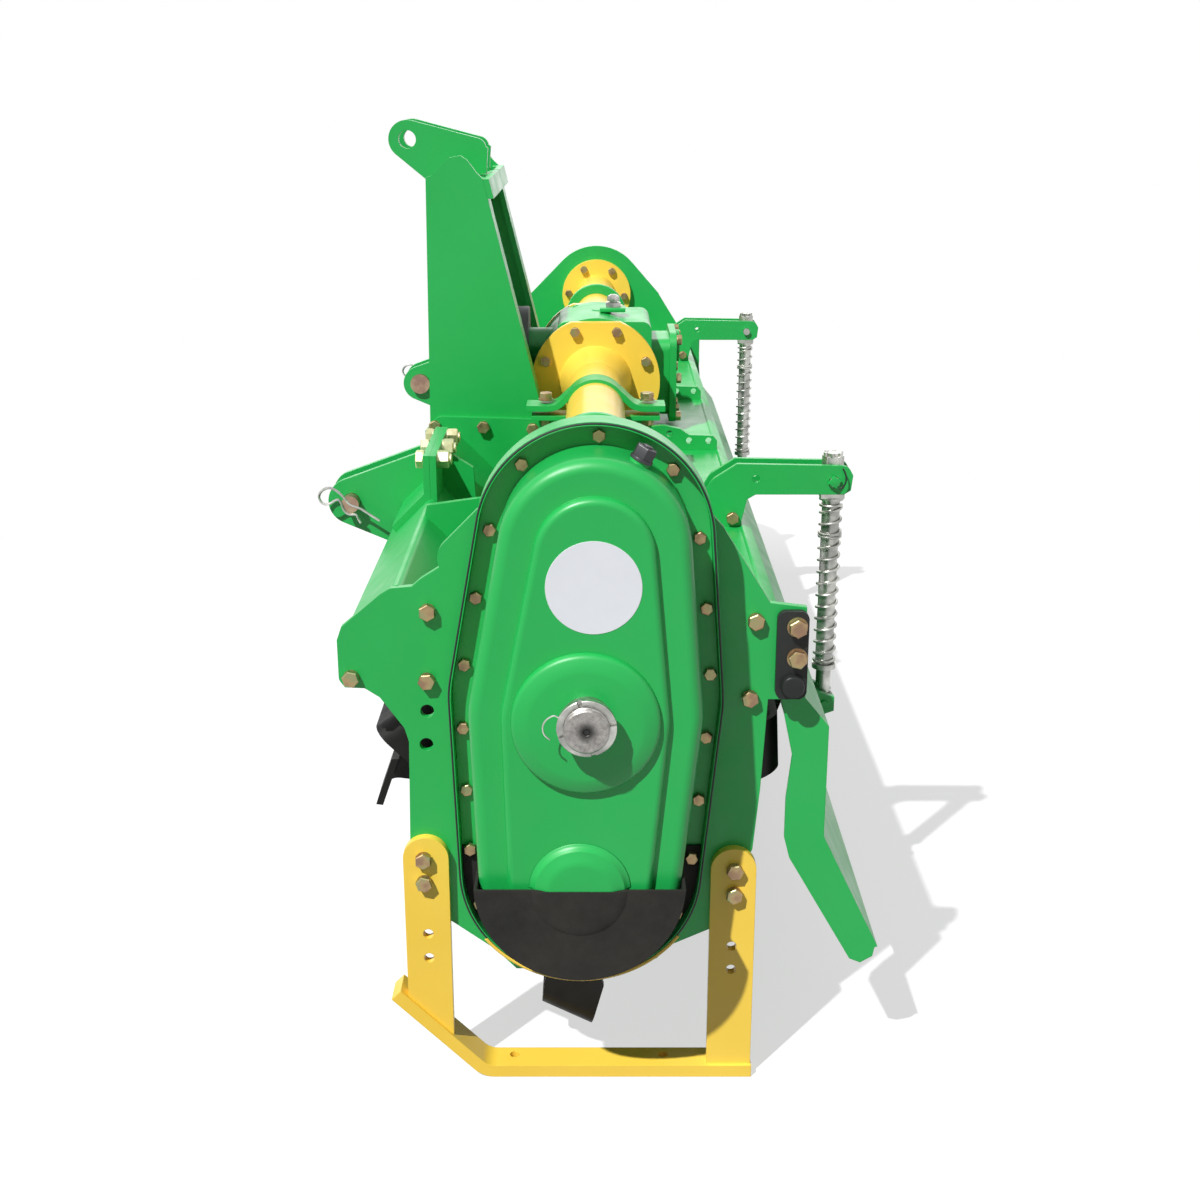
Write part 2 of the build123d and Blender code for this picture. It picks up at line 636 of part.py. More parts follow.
export_node(cross_plate(), "near_cross_plate")
export_node(far_copy(cross_plate()), "far_cross_plate")
export_node(mast_plate(), "near_mast_plate")
export_node(far_copy(mast_plate()), "far_mast_plate")
export_node(mast_crosspiece(), "mast_crosspiece")
export_node(top_ear() + far_copy(top_ear()), "top_clevis")


# Lower link brackets and pins

def link_bracket():
    """Bent clamp plate over the beam's front face with the two link plates."""
    back = BEAM_X - 0.1
    slant = CLAMP_T * math.sqrt(2)
    foot_x = -228
    fold = outline(
        (
            (back, BEAM_Z + 40), (back, CLAMP_TOP_Z), (back - CLAMP_T, CLAMP_TOP_Z),
            (back - CLAMP_T, beam_top(BEAM_X - CLAMP_T) + slant), (foot_x - 4, beam_top(foot_x - 4) + slant),
            (foot_x + 1, beam_top(foot_x + 1) - 3),
        )
    )
    clamp = slab(fold - beam_section(), -CLAMP_NEAR_Y, -CLAMP_FAR_Y)
    nose = Pos(LINK_PIN_X, LINK_PIN_Z) * Circle(LINK_NOSE_R)
    upper = Pos(-209, 583) * Circle(8)
    lower = Pos(-248, 486) * Circle(12)
    link = make_hull(nose.edges() + upper.edges() + lower.edges())
    root = outline(((-215, 585), (back - 2, 597), (back - 2, BEAM_Z + 40), (BEAM_X - 50, BEAM_Z), (-252, 520)))
    face = (link + root) - beam_section() - Pos(LINK_PIN_X, LINK_PIN_Z) * Circle(LINK_PIN_R + PIN_FIT)
    outer = slab(face, -LINK_Y - LINK_GAP / 2 - LINK_T, -LINK_Y - LINK_GAP / 2)
    inner = slab(face, -LINK_Y + LINK_GAP / 2, -LINK_Y + LINK_GAP / 2 + LINK_T)
    return clamp + outer + inner


def link_pin():
    """Loose headed pin through the link plates."""
    near = -LINK_Y - LINK_GAP / 2 - LINK_T
    far = -LINK_Y + LINK_GAP / 2 + LINK_T
    pin = disc_y(LINK_PIN_X, LINK_PIN_Z, LINK_PIN_R, near - 16, far + 4)
    return pin + disc_y(LINK_PIN_X, LINK_PIN_Z, LINK_PIN_R + 6, far + 0.3, far + 8)


export_node(link_bracket(), "near_link_bracket")
export_node(far_copy(link_bracket()), "far_link_bracket")
export_node(link_pin(), "near_link_pin")
export_node(far_copy(link_pin()), "far_link_pin")


# Skids

def skid_arm(x, top_z, low_z_front, low_z_rear, holes):
    """Flat bar with a round head, cut to the rail below."""
    half = SKID_BAR / 2
    face = Pos(x, top_z - half) * Circle(half)
    face += outline(((x - half, top_z - half), (x + half, top_z - half), (x + half, low_z_rear), (x - half, low_z_front)))
    for z in holes:
        face -= Pos(x, z) * Circle(SKID_HOLE_R)
    return slab(face, -PLATE_OUT - SKID_T, -PLATE_OUT)


def skid():
    """Skid: bent rail with its two arms bolted to the side plate."""
    slope_top = RAIL_T * math.sqrt(2)
    nose_z = RAIL_BEND_X - RAIL_NOSE_X
    rail_points = (
        (RAIL_REAR_X, 0), (RAIL_REAR_X, RAIL_T), (RAIL_BEND_X + 6, RAIL_T),
        (RAIL_NOSE_X + 10, nose_z + 10), (RAIL_NOSE_X, nose_z), (RAIL_BEND_X, 0),
    )
    near = -PLATE_OUT - SKID_T - 4
    rail = slab(outline(rail_points, ((2, 20), (5, 30))), near, near + RAIL_WIDTH)
    for x in (-74, 90):
        rail -= bar_z(x, -PLATE_IN, SKID_HOLE_R, -1, RAIL_T + 1)
    half = SKID_BAR / 2
    front_low = RAIL_BEND_X - (FRONT_ARM_X - half) + slope_top - 8
    rear_low = RAIL_BEND_X - (FRONT_ARM_X + half) + slope_top - 8
    front = skid_arm(FRONT_ARM_X, FRONT_ARM_TOP, front_low, rear_low, (175, 146))
    rear = skid_arm(REAR_ARM_X, REAR_ARM_TOP, RAIL_T - 2, RAIL_T - 2, (160, 132))
    return rail + front + rear


export_node(skid(), "near_skid")
export_node(far_copy(skid()), "far_skid")


# Rotor

FLANGE_SPAN = 2 * (PLATE_IN - ROTOR_END_GAP - ROTOR_FLANGE_T / 2)


def flange_y(index):
    """Middle plane of a rotor flange."""
    return -FLANGE_SPAN / 2 + index * FLANGE_SPAN / (ROTOR_FLANGES - 1)


def tine():
    """Blade standing up Z: flat foot at y = 0, tip bent towards +Y along a slanted line."""
    half = TINE_WIDTH / 2
    corner = (-half - 10, SWING_R - 2)
    slant = math.radians(TINE_BEND_SLANT)
    bend_z = corner[0] * math.sin(slant) + corner[1] * math.cos(slant) - TINE_BEND_R - TINE_T / 2
    foot = Line((TINE_T / 2, 0), (TINE_T / 2, bend_z))
    bend = RadiusArc((TINE_T / 2, bend_z), (TINE_T / 2 + TINE_BEND_R, bend_z + TINE_BEND_R), TINE_BEND_R)
    blade = Line(bend @ 1, (TINE_REACH, bend_z + TINE_BEND_R))
    profile = trace(foot + bend + blade, TINE_T)
    plane = Plane(origin=(-SWING_R, 0, 0), x_dir=(0, 1, 0), z_dir=(1, 0, 0))
    strip = Rot(0, TINE_BEND_SLANT, 0) * extrude(plane * profile, amount=2 * SWING_R)
    edge = (
        (-half, TINE_FOOT_R), (half, TINE_FOOT_R), (half, 150), (half + 4, 190), (half + 5, SWING_R),
        corner, (-half - 20, 187), (-half - 6, 150),
    )
    return strip & slab(outline(edge), -5, TINE_REACH + 5)


def rotor_shaft():
    """Tube with its tine flanges and the end hubs."""
    end = PLATE_IN - 3
    shape = disc_y(0, ROTOR_Z, ROTOR_TUBE_R, -end, end)
    shape += disc_y(0, ROTOR_Z, JOURNAL_R, -end - JOURNAL_LENGTH, end + JOURNAL_LENGTH)
    shape += disc_y(0, ROTOR_Z, HUB_R, -end, -end + 8) + disc_y(0, ROTOR_Z, HUB_R, end - 8, end)
    for index in range(ROTOR_FLANGES):
        middle = flange_y(index)
        shape += disc_y(0, ROTOR_Z, ROTOR_FLANGE_R, middle - ROTOR_FLANGE_T / 2, middle + ROTOR_FLANGE_T / 2)
    return shape


def rotor_tines():
    """All the blades: inner flanges hold six, left and right in turn, end flanges three."""
    right = tine()
    left = mirror(right, about=Plane.XZ)
    blades = []
    for index in range(ROTOR_FLANGES):
        for seat in range(TINES_PER_FLANGE):
            towards_far = seat % 2 == 0
            if index == 0 and not towards_far or index == ROTOR_FLANGES - 1 and towards_far:
                continue
            side = 1 if towards_far else -1
            angle = TINE_FIRST + seat * 360 / TINES_PER_FLANGE + index * 22.5
            y = flange_y(index) + side * ROTOR_FLANGE_T / 2
            blade = right if towards_far else left
            blades.append(Pos(0, y, ROTOR_Z) * Rot(0, angle, 0) * blade)
    return Compound(children=blades)


export_node(rotor_shaft(), "rotor_shaft")
export_node(rotor_tines(), "rotor_tines")


def far_bearing():
    """Bearing housing and cap at the far end of the rotor."""
    hub = disc_y(0, ROTOR_Z, HUB_R + 6, PLATE_IN + 1, PLATE_OUT)
    flange = disc_y(0, ROTOR_Z, 86, PLATE_OUT, PLATE_OUT + 12)
    body = disc_y(0, ROTOR_Z, 60, PLATE_OUT + 12, PLATE_OUT + 34)
    cap = disc_y(0, ROTOR_Z, 46, PLATE_OUT + 34, FAR_END)
    cap = fillet(cap.faces().sort_by(Axis.Y)[-1].edges(), 6)
    journal_bore = disc_y(0, ROTOR_Z, JOURNAL_R + SHAFT_GAP, PLATE_IN, PLATE_IN + JOURNAL_LENGTH + 3)
    return hub + flange + body + cap - journal_bore


def far_top_cap():
    """Blank cap over the far end of the cross shaft tube."""
    plug = disc_y(TOP_X, TOP_Z, 45.5, PLATE_IN + 0.5, PLATE_OUT)
    cap = disc_y(TOP_X, TOP_Z, END_FLANGE_R, PLATE_OUT, PLATE_OUT + 10)
    return plug + chamfer(cap.faces().sort_by(Axis.Y)[-1].edges(), 3)


export_node(far_bearing(), "far_rotor_bearing")
export_node(far_top_cap(), "far_tube_cap")


# Trailing board and its hinges

def hinge_strap():
    """Upright strap bolted over the bracket, with the hinge pin."""
    face = Pos(HINGE_X - 1, HINGE_Z + 32) * RectangleRounded(32, 94, 9)
    strap_plate = slab(face, -PLATE_OUT - 8, -PLATE_OUT)
    pin = disc_y(HINGE_X, HINGE_Z, HINGE_PIN_R, -PLATE_OUT - 12, -BOARD_HALF + BOARD_END_T + 4)
    return strap_plate + pin


def board():
    """Bent sheet with end plates, hinge eyes and the two rod lugs."""
    top = (232, 436)
    upper = (BOARD_X, 404)
    sheet_points = (
        top, upper, (BOARD_X, BOARD_KNEE_Z), (BOARD_TIP_X, BOARD_TIP_Z),
        (BOARD_TIP_X - SHEET_T, BOARD_TIP_Z - 2), (BOARD_X - SHEET_T, BOARD_KNEE_Z - 1),
        (BOARD_X - SHEET_T, 402), (229, 433),
    )
    sheet = slab(outline(sheet_points), -BOARD_HALF, BOARD_HALF)
    end_points = (
        (229, 470), (232, 436), (BOARD_X - 2, 402), (BOARD_X - 2, BOARD_KNEE_Z), (BOARD_TIP_X - 3, BOARD_TIP_Z),
        (317, 134), (304, 126), (292, 131), (222, 253), (216, 276), (216, 322), (221, 371), (206, 440), (201, 458),
    )
    end_face = outline(end_points) + Pos(HINGE_X, HINGE_Z) * Circle(15)
    end_face -= Pos(HINGE_X, HINGE_Z) * Circle(HINGE_PIN_R + PIN_FIT)
    shape = sheet
    for side in (-1, 1):
        shape += slab(end_face, side * BOARD_HALF, side * (BOARD_HALF - BOARD_END_T))
    lug_face = outline(((BOARD_X - 1, 345), (LUG_X - 6, 328), (LUG_X + 12, 322), (LUG_X + 12, 304), (BOARD_X - 1, 285)))
    for side in (-1, 1):
        shape += disc_y(LUG_X, LUG_Z, LUG_PIN_R, side * ARM_Y - 17 - LUG_T, side * ARM_Y + 17 + LUG_T)
        for offset in (-17, 17):
            middle = side * ARM_Y + offset
            shape += slab(lug_face, middle - LUG_T / 2, middle + LUG_T / 2)
    return shape


export_node(hinge_strap(), "near_hinge_strap")
export_node(far_copy(hinge_strap()), "far_hinge_strap")
export_node(board(), "trailing_board")


# Spring arms, trunnions, rods and springs

def spring_arm():
    """Two cranked plates from the hood to the spring rod."""
    points = (
        (140, DECK_Z), (141, 575), (152, 595), (181, 614), (290, 612), (312, 611), (318, 600), (316, 582),
        (308, 577), (204, 577), (194, 571), (188, 545), (188, DECK_Z),
    )
    face = outline(points, ((2, 20), (5, 10)))
    face -= Pos(204, 596) * Circle(4.5)
    face -= Pos(LUG_X, TRUNNION_Z) * Circle(6 + PIN_FIT)
    plate = slab(face, -ARM_T / 2, ARM_T / 2)
    offset = (ARM_GAP + ARM_T) / 2
    spacer = block(144, 186, -ARM_Y - ARM_GAP / 2, -ARM_Y + ARM_GAP / 2, DECK_Z, DECK_Z + 10)
    return Pos(0, -ARM_Y - offset, 0) * plate + Pos(0, -ARM_Y + offset, 0) * plate + spacer


def trunnion():
    """Swivel block between the arm plates, bored for the rod."""
    half = ARM_GAP / 2 - 0.5
    body = block(LUG_X - TRUNNION_HALF, LUG_X + TRUNNION_HALF, -ARM_Y - half, -ARM_Y + half, SPRING_TOP_Z + 3, TRUNNION_Z + 12)
    body += bar_z(LUG_X, -ARM_Y, SPRING_SEAT_R, SPRING_TOP_Z, SPRING_TOP_Z + 3)
    pin = disc_y(LUG_X, TRUNNION_Z, 6, -ARM_Y - half - ARM_T - 6, -ARM_Y + half + ARM_T + 6)
    return (body + pin) - bar_z(LUG_X, -ARM_Y, ROD_R + 0.3, 500, 700)


def rod():
    """Spring rod with a top nut, the lower collar and a flat eye."""
    shaft = bar_z(LUG_X, -ARM_Y, ROD_R, LUG_Z + 10, ROD_TOP_Z)
    nut = Pos(LUG_X, -ARM_Y, ROD_TOP_Z - 16) * extrude(RegularPolygon(12.5, 6), amount=12)
    collar = bar_z(LUG_X, -ARM_Y, SPRING_SEAT_R, SPRING_LOW_Z - 6, SPRING_LOW_Z)
    eye_face = Circle(EYE_R) - Circle(EYE_HOLE_R)
    eye = slab(Pos(LUG_X, LUG_Z) * eye_face, -ARM_Y - 5, -ARM_Y + 5)
    return shaft + nut + collar + eye


def spring():
    """Compression spring round the rod, with closed end turns."""
    low = SPRING_LOW_Z + SPRING_WIRE_R + 0.2
    high = SPRING_TOP_Z - SPRING_WIRE_R - 0.2
    height = high - low
    helix = Helix(height / SPRING_TURNS, height, SPRING_R)
    section = Plane(origin=helix @ 0, z_dir=helix % 0) * RegularPolygon(SPRING_WIRE_R, 6)
    return Pos(LUG_X, -ARM_Y, low) * sweep(section, path=helix, is_frenet=True)


export_node(spring_arm(), "near_spring_arm")
export_node(far_copy(spring_arm()), "far_spring_arm")
export_node(trunnion(), "near_trunnion")
export_node(far_copy(trunnion()), "far_trunnion")
export_node(rod(), "near_spring_rod")
export_node(far_copy(rod()), "far_spring_rod")
export_node(spring(), "near_spring")
export_node(far_copy(spring()), "far_spring")
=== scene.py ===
"""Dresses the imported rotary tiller: paints, fasteners, case bosses, springs and studio.

The CAD nodes keep their shapes and get painted and plated finishes. Bolts, nuts,
clips, the white disc, the bosses and the smooth springs are added round them. Lengths
inside the classes are millimetres from the rotor axis (x), the middle of the machine
(y) and the ground (z); Machine.point() turns them into the frame's metres. The gear
case is at the near end, on the -y side, and the trailing board at the rear, on the +x
side.
"""

import json
import logging
import math
from collections.abc import Sequence
from dataclasses import dataclass
from enum import Enum
from functools import cached_property
from typing import ClassVar

import bmesh
import bpy
from mathutils import Matrix, Vector

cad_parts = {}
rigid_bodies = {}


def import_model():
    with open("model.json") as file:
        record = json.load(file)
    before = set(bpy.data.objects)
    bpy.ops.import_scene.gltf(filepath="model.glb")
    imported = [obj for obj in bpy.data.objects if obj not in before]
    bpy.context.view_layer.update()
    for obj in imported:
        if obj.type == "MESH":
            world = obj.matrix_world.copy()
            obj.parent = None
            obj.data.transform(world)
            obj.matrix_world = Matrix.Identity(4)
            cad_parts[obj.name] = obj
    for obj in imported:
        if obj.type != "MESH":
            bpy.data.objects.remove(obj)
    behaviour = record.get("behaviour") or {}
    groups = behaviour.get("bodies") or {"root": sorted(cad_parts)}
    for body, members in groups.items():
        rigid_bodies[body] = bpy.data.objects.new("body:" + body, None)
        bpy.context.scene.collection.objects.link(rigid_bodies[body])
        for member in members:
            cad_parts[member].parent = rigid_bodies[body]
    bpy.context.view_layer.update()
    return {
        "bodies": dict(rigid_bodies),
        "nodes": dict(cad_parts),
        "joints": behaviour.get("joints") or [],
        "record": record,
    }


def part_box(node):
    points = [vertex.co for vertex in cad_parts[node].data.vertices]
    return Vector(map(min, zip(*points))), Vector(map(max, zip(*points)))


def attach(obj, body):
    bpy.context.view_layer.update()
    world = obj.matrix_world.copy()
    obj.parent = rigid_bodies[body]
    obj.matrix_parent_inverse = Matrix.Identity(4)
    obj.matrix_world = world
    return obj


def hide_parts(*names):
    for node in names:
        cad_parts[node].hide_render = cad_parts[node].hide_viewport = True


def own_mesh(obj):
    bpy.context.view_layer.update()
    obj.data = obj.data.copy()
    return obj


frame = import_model()

LOG = logging.getLogger("tiller")
MM = 0.001
SMOOTH_ANGLE = math.radians(32)
GOLDEN_TURN = math.radians(137.5)
FULL_TURN = 2 * math.pi
WELD_DISTANCE = 1e-6
WHITE = (1.0, 1.0, 1.0, 1.0)

Colour = tuple[float, float, float]
Mark = tuple[float, float]
Socket = bpy.types.NodeSocket


class Way(Enum):
    """Directions that a piece can face on the machine."""

    NEAR = (0, -1, 0)
    FAR = (0, 1, 0)
    FRONT = (-1, 0, 0)
    REAR = (1, 0, 0)
    UP = (0, 0, 1)
    DOWN = (0, 0, -1)

    @property
    def vector(self) -> Vector:
        """The direction as a unit vector."""
        return Vector(self.value)


class Side(Enum):
    """The two ends of the machine: the gear case is on the near one."""

    NEAR = -1
    FAR = 1

    @property
    def outward(self) -> Way:
        """The direction away from the machine's middle."""
        return Way.NEAR if self is Side.NEAR else Way.FAR

    @property
    def inward(self) -> Way:
        """The direction to the machine's middle."""
        return Way.FAR if self is Side.NEAR else Way.NEAR

    @property
    def word(self) -> str:
        """The side's name in node and piece names."""
        return self.name.lower()


class Body(Enum):
    """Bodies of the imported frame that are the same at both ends."""

    FRAME = "frame"
    ROTOR = "rotor"


class Slot(Enum):
    """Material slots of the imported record."""

    GREEN = "green_paint"
    YELLOW = "yellow_paint"
    BLACK = "black_paint"
    ZINC = "zinc_steel"
    GOLD = "gold_zinc"
    GREY = "grey_plastic"


class Machine:
    """Places on the machine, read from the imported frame."""

    SHAFT: ClassVar[Mark] = (15.0, 620.0)

    def __init__(self, loaded: dict) -> None:
        """Reads the joints and the side plates.
        """
        self.nodes = loaded["nodes"]
        self.joints = {joint["name"]: joint for joint in loaded["joints"]}
        rotor = self.joints["rotor_spin"]["pos_m"]
        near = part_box("near_side_plate")
        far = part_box("far_side_plate")
        self.origin = Vector((rotor[0], (near[0].y + far[1].y) / 2, 0.0))
        self.rotor_z = rotor[2] / MM
        self.plate_out = (far[1].y - near[0].y) / 2 / MM
        self.plate_in = (far[0].y - near[1].y) / 2 / MM
        self.case_face = self.face("gearcase_housing", Way.NEAR)

    def point(self, x: float, y: float, z: float) -> Vector:
        """A place given in millimetres, in the frame's metres."""
        return self.origin + Vector((x, y, z)) * MM

    def stand(self, x: float, y: float, z: float, way: Way, turn: float = 0.0) -> Matrix:
        """A place given in millimetres, with local Z along one direction."""
        return facing(self.point(x, y, z), way.vector, turn)

    def face(self, node: str, way: Way) -> float:
        """Distance of a node's outermost point in one direction, in millimetres.

        Args:
            node: The CAD node.
            way: The direction in which the node is measured.

        Returns:
            The signed coordinate of that face on the direction's own axis.
        """
        low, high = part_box(node)
        axis = max(range(3), key=lambda index: abs(way.value[index]))
        corner = high if way.value[axis] > 0 else low
        return (corner[axis] - self.origin[axis]) / MM


# Finishes


@dataclass(frozen=True)
class Grain:
    """Fineness of a noise: features in a metre, octaves and their strength."""

    scale: float
    detail: float = 3.0
    rough: float = 0.55


class Bench:
    """A node tree being wired up for a material or for the world."""

    def __init__(self, owner: bpy.types.Material | bpy.types.World) -> None:
        """Empties the owner's node tree.

        Args:
            owner: The material or world that is wired up.
        """
        owner.use_nodes = True
        self.owner = owner
        self.tree = owner.node_tree
        self.tree.nodes.clear()

    def add(self, kind: str, inputs: dict[str | int, object], **settings: object) -> bpy.types.Node:
        """Adds a shader node.

        Args:
            kind: Its type, without the leading ShaderNode.
            inputs: Values of its inputs, or the sockets that feed them.
            settings: Its properties.

        Returns:
            The node.
        """
        node = self.tree.nodes.new("ShaderNode" + kind)
        for key, value in settings.items():
            setattr(node, key, value)
        for key, value in inputs.items():
            if isinstance(value, Socket):
                self.tree.links.new(value, node.inputs[key])
            else:
                node.inputs[key].default_value = value
        return node

    def place(self) -> Socket:
        """The place on the piece."""
        return self.add("TexCoord", {}).outputs["Object"]

    def noise(self, grain: Grain) -> Socket:
        """The value of a noise over the piece."""
        inputs = {"Scale": grain.scale, "Detail": grain.detail, "Roughness": grain.rough}
        return self.add("TexNoise", {"Vector": self.place(), **inputs}).outputs["Fac"]

    def between(self, value: Socket, low: float, high: float, spread: Mark = (0.3, 0.7)) -> Socket:
        """Maps the used spread of a texture value onto a range from low to high."""
        inputs = {"Value": value, "From Min": spread[0], "From Max": spread[1], "To Min": low, "To Max": high}
        return self.add("MapRange", inputs).outputs["Result"]

    def blend(self, grain: Grain, places: Sequence[float], tones: Sequence[Colour]) -> Socket:
        """Colours picked along a ramp by a noise.

        Args:
            grain: Grain of the noise.
            places: Values of the noise where the tones are pure.
            tones: The colours.

        Returns:
            The colour socket.
        """
        node = self.add("ValToRGB", {"Fac": self.noise(grain)})
        ramp = node.color_ramp
        while len(ramp.elements) < len(tones):
            ramp.elements.new(0.5)
        for element, place, tone in zip(ramp.elements, places, tones):
            element.position = place
            element.color = (*tone, 1.0)
        return node.outputs["Color"]

    def bump(self, height: Socket, strength: float, depth_mm: float, rounding_mm: float = 0.0) -> Socket:
        """Turns a height into a normal.

        Args:
            height: The height socket.
            strength: How much of the bump shows.
            depth_mm: Height of a full step.
            rounding_mm: Radius by which sharp edges catch the light.

        Returns:
            The normal socket.
        """
        inputs = {"Strength": strength, "Distance": depth_mm * MM, "Height": height}
        if rounding_mm:
            inputs["Normal"] = self.add("Bevel", {"Radius": rounding_mm * MM}, samples=4).outputs["Normal"]
        return self.add("Bump", inputs).outputs["Normal"]


@dataclass(frozen=True)
class Finish:
    """A surface finish and the record's material slot that its pieces belong to."""

    name: str
    slot: Slot

    @cached_property
    def material(self) -> bpy.types.Material:
        """The material, built on first use.

        Returns:
            The material.
        """
        bench = Bench(bpy.data.materials.new(self.name))
        shader = bench.add("BsdfPrincipled", self.inputs(bench))
        bench.add("OutputMaterial", {"Surface": shader.outputs[0]})
        return bench.owner

    def inputs(self, bench: Bench) -> dict[str | int, object]:
        """What the surface shader is fed with."""
        raise NotImplementedError


@dataclass(frozen=True)
class Coating(Finish):
    """A finish of mottled colours with an uneven roughness and a fine bump."""

    PLACES: ClassVar[tuple[float, ...]]
    TONE: ClassVar[Grain]
    FILM: ClassVar[Grain]
    SPREAD: ClassVar[Mark]
    STRENGTH: ClassVar[float]
    ROUNDING_MM: ClassVar[float] = 0.0
    EXTRA: ClassVar[dict[str, float]] = {}

    roughness: float
    relief: Grain
    depth_mm: float
    tones: tuple[Colour, ...]

    def inputs(self, bench: Bench) -> dict[str | int, object]:
        """What the surface shader is fed with.

        Args:
            bench: The material's own bench.

        Returns:
            The shader's inputs.
        """
        low, high = self.SPREAD
        film = bench.noise(self.FILM)
        height = bench.noise(self.relief)
        return {
            "Base Color": bench.blend(self.TONE, self.PLACES, self.tones),
            "Roughness": bench.between(film, self.roughness - low, self.roughness + high),
            "Normal": bench.bump(height, self.STRENGTH, self.depth_mm, self.ROUNDING_MM),
            **self.EXTRA,
        }


class Enamel(Coating):
    """Gloss paint over steel with a faint tone change, dust and orange peel."""

    PLACES = (0.32, 0.5, 0.72)
    TONE = Grain(2.6, 4.0)
    FILM = Grain(23.0, 5.0, 0.62)
    SPREAD = (0.06, 0.1)
    STRENGTH = 0.12
    ROUNDING_MM = 0.9
    EXTRA = {"Coat Weight": 0.09, "Coat Roughness": 0.34, "IOR": 1.5}


class RoughBlack(Coating):
    """Black textured finish of the wear guard, the straps or the blades."""

    PLACES = (0.35, 0.75)
    TONE = Grain(14.0, 6.0, 0.65)
    FILM = Grain(60.0, 4.0)
    SPREAD = (0.08, 0.12)
    STRENGTH = 0.5
    ROUNDING_MM = 0.8
    EXTRA = {"Specular IOR Level": 0.25}


class Plating(Coating):
    """Zinc plated steel, silver or passivated yellow, with cloudy tints."""

    PLACES = (0.36, 0.5, 0.64)
    TONE = Grain(55.0, 2.0)
    FILM = Grain(160.0, 3.0)
    SPREAD = (0.07, 0.14)
    STRENGTH = 0.15
    EXTRA = {"Metallic": 0.9}


class Film(Coating):
    """Plain printed film or moulded plastic, and the flat black used as painted shade."""

    PLACES = (0.3, 0.7)
    TONE = Grain(18.0)
    FILM = Grain(40.0)
    SPREAD = (0.05, 0.08)
    STRENGTH = 0.2


@dataclass(frozen=True)
class TurnedSteel(Finish):
    """Bare turned steel with rings, and a dark middle round the axle's own centre painted as shade of the
    centre hole.
    """

    SPECKLE: ClassVar[Grain] = Grain(180.0, 5.0, 0.7)
    FILM: ClassVar[Grain] = Grain(90.0)
    RING_SCALE: ClassVar[float] = 700.0 / 6.28
    GREASE_M: ClassVar[Mark] = (0.005, 0.0125)
    GREASE_SHADE: ClassVar[float] = 0.3

    bright: Colour
    dark: Colour
    centre: tuple[float, float, float]

    def inputs(self, bench: Bench) -> dict[str | int, object]:
        """What the surface shader is fed with.

        Args:
            bench: The material's own bench.

        Returns:
            The shader's inputs.
        """
        shift = {"Vector": bench.place(), "Location": [-value for value in self.centre]}
        centred = bench.add("Mapping", shift).outputs["Vector"]
        rings = bench.add(
            "TexWave", {"Vector": centred, "Scale": self.RING_SCALE, "Distortion": 0.6},
            wave_type="RINGS", rings_direction="Y",
        )
        flat = bench.add("Mapping", {"Vector": centred, "Scale": (1.0, 0.0, 1.0)}).outputs["Vector"]
        away = bench.add("VectorMath", {0: flat}, operation="LENGTH").outputs["Value"]
        # Painted shade: the face round the centre hole is darkened so that the hole and its chamfer show no
        # sun glint.
        tone = bench.add("Mix", {0: bench.between(away, 0.0, 1.0, self.GREASE_M)}, data_type="RGBA")
        shaded_centre, clean = [socket for socket in tone.inputs if socket.type == "RGBA"]
        shaded_centre.default_value = (*[channel * self.GREASE_SHADE for channel in self.dark], 1.0)
        bench.tree.links.new(bench.blend(self.SPECKLE, (0.3, 0.62), (self.dark, self.bright)), clean)
        return {
            "Base Color": next(socket for socket in tone.outputs if socket.type == "RGBA"),
            "Roughness": bench.between(bench.noise(self.FILM), 0.3, 0.55),
            "Metallic": 0.85,
            "Normal": bench.bump(rings.outputs["Fac"], 0.35, 0.15),
        }


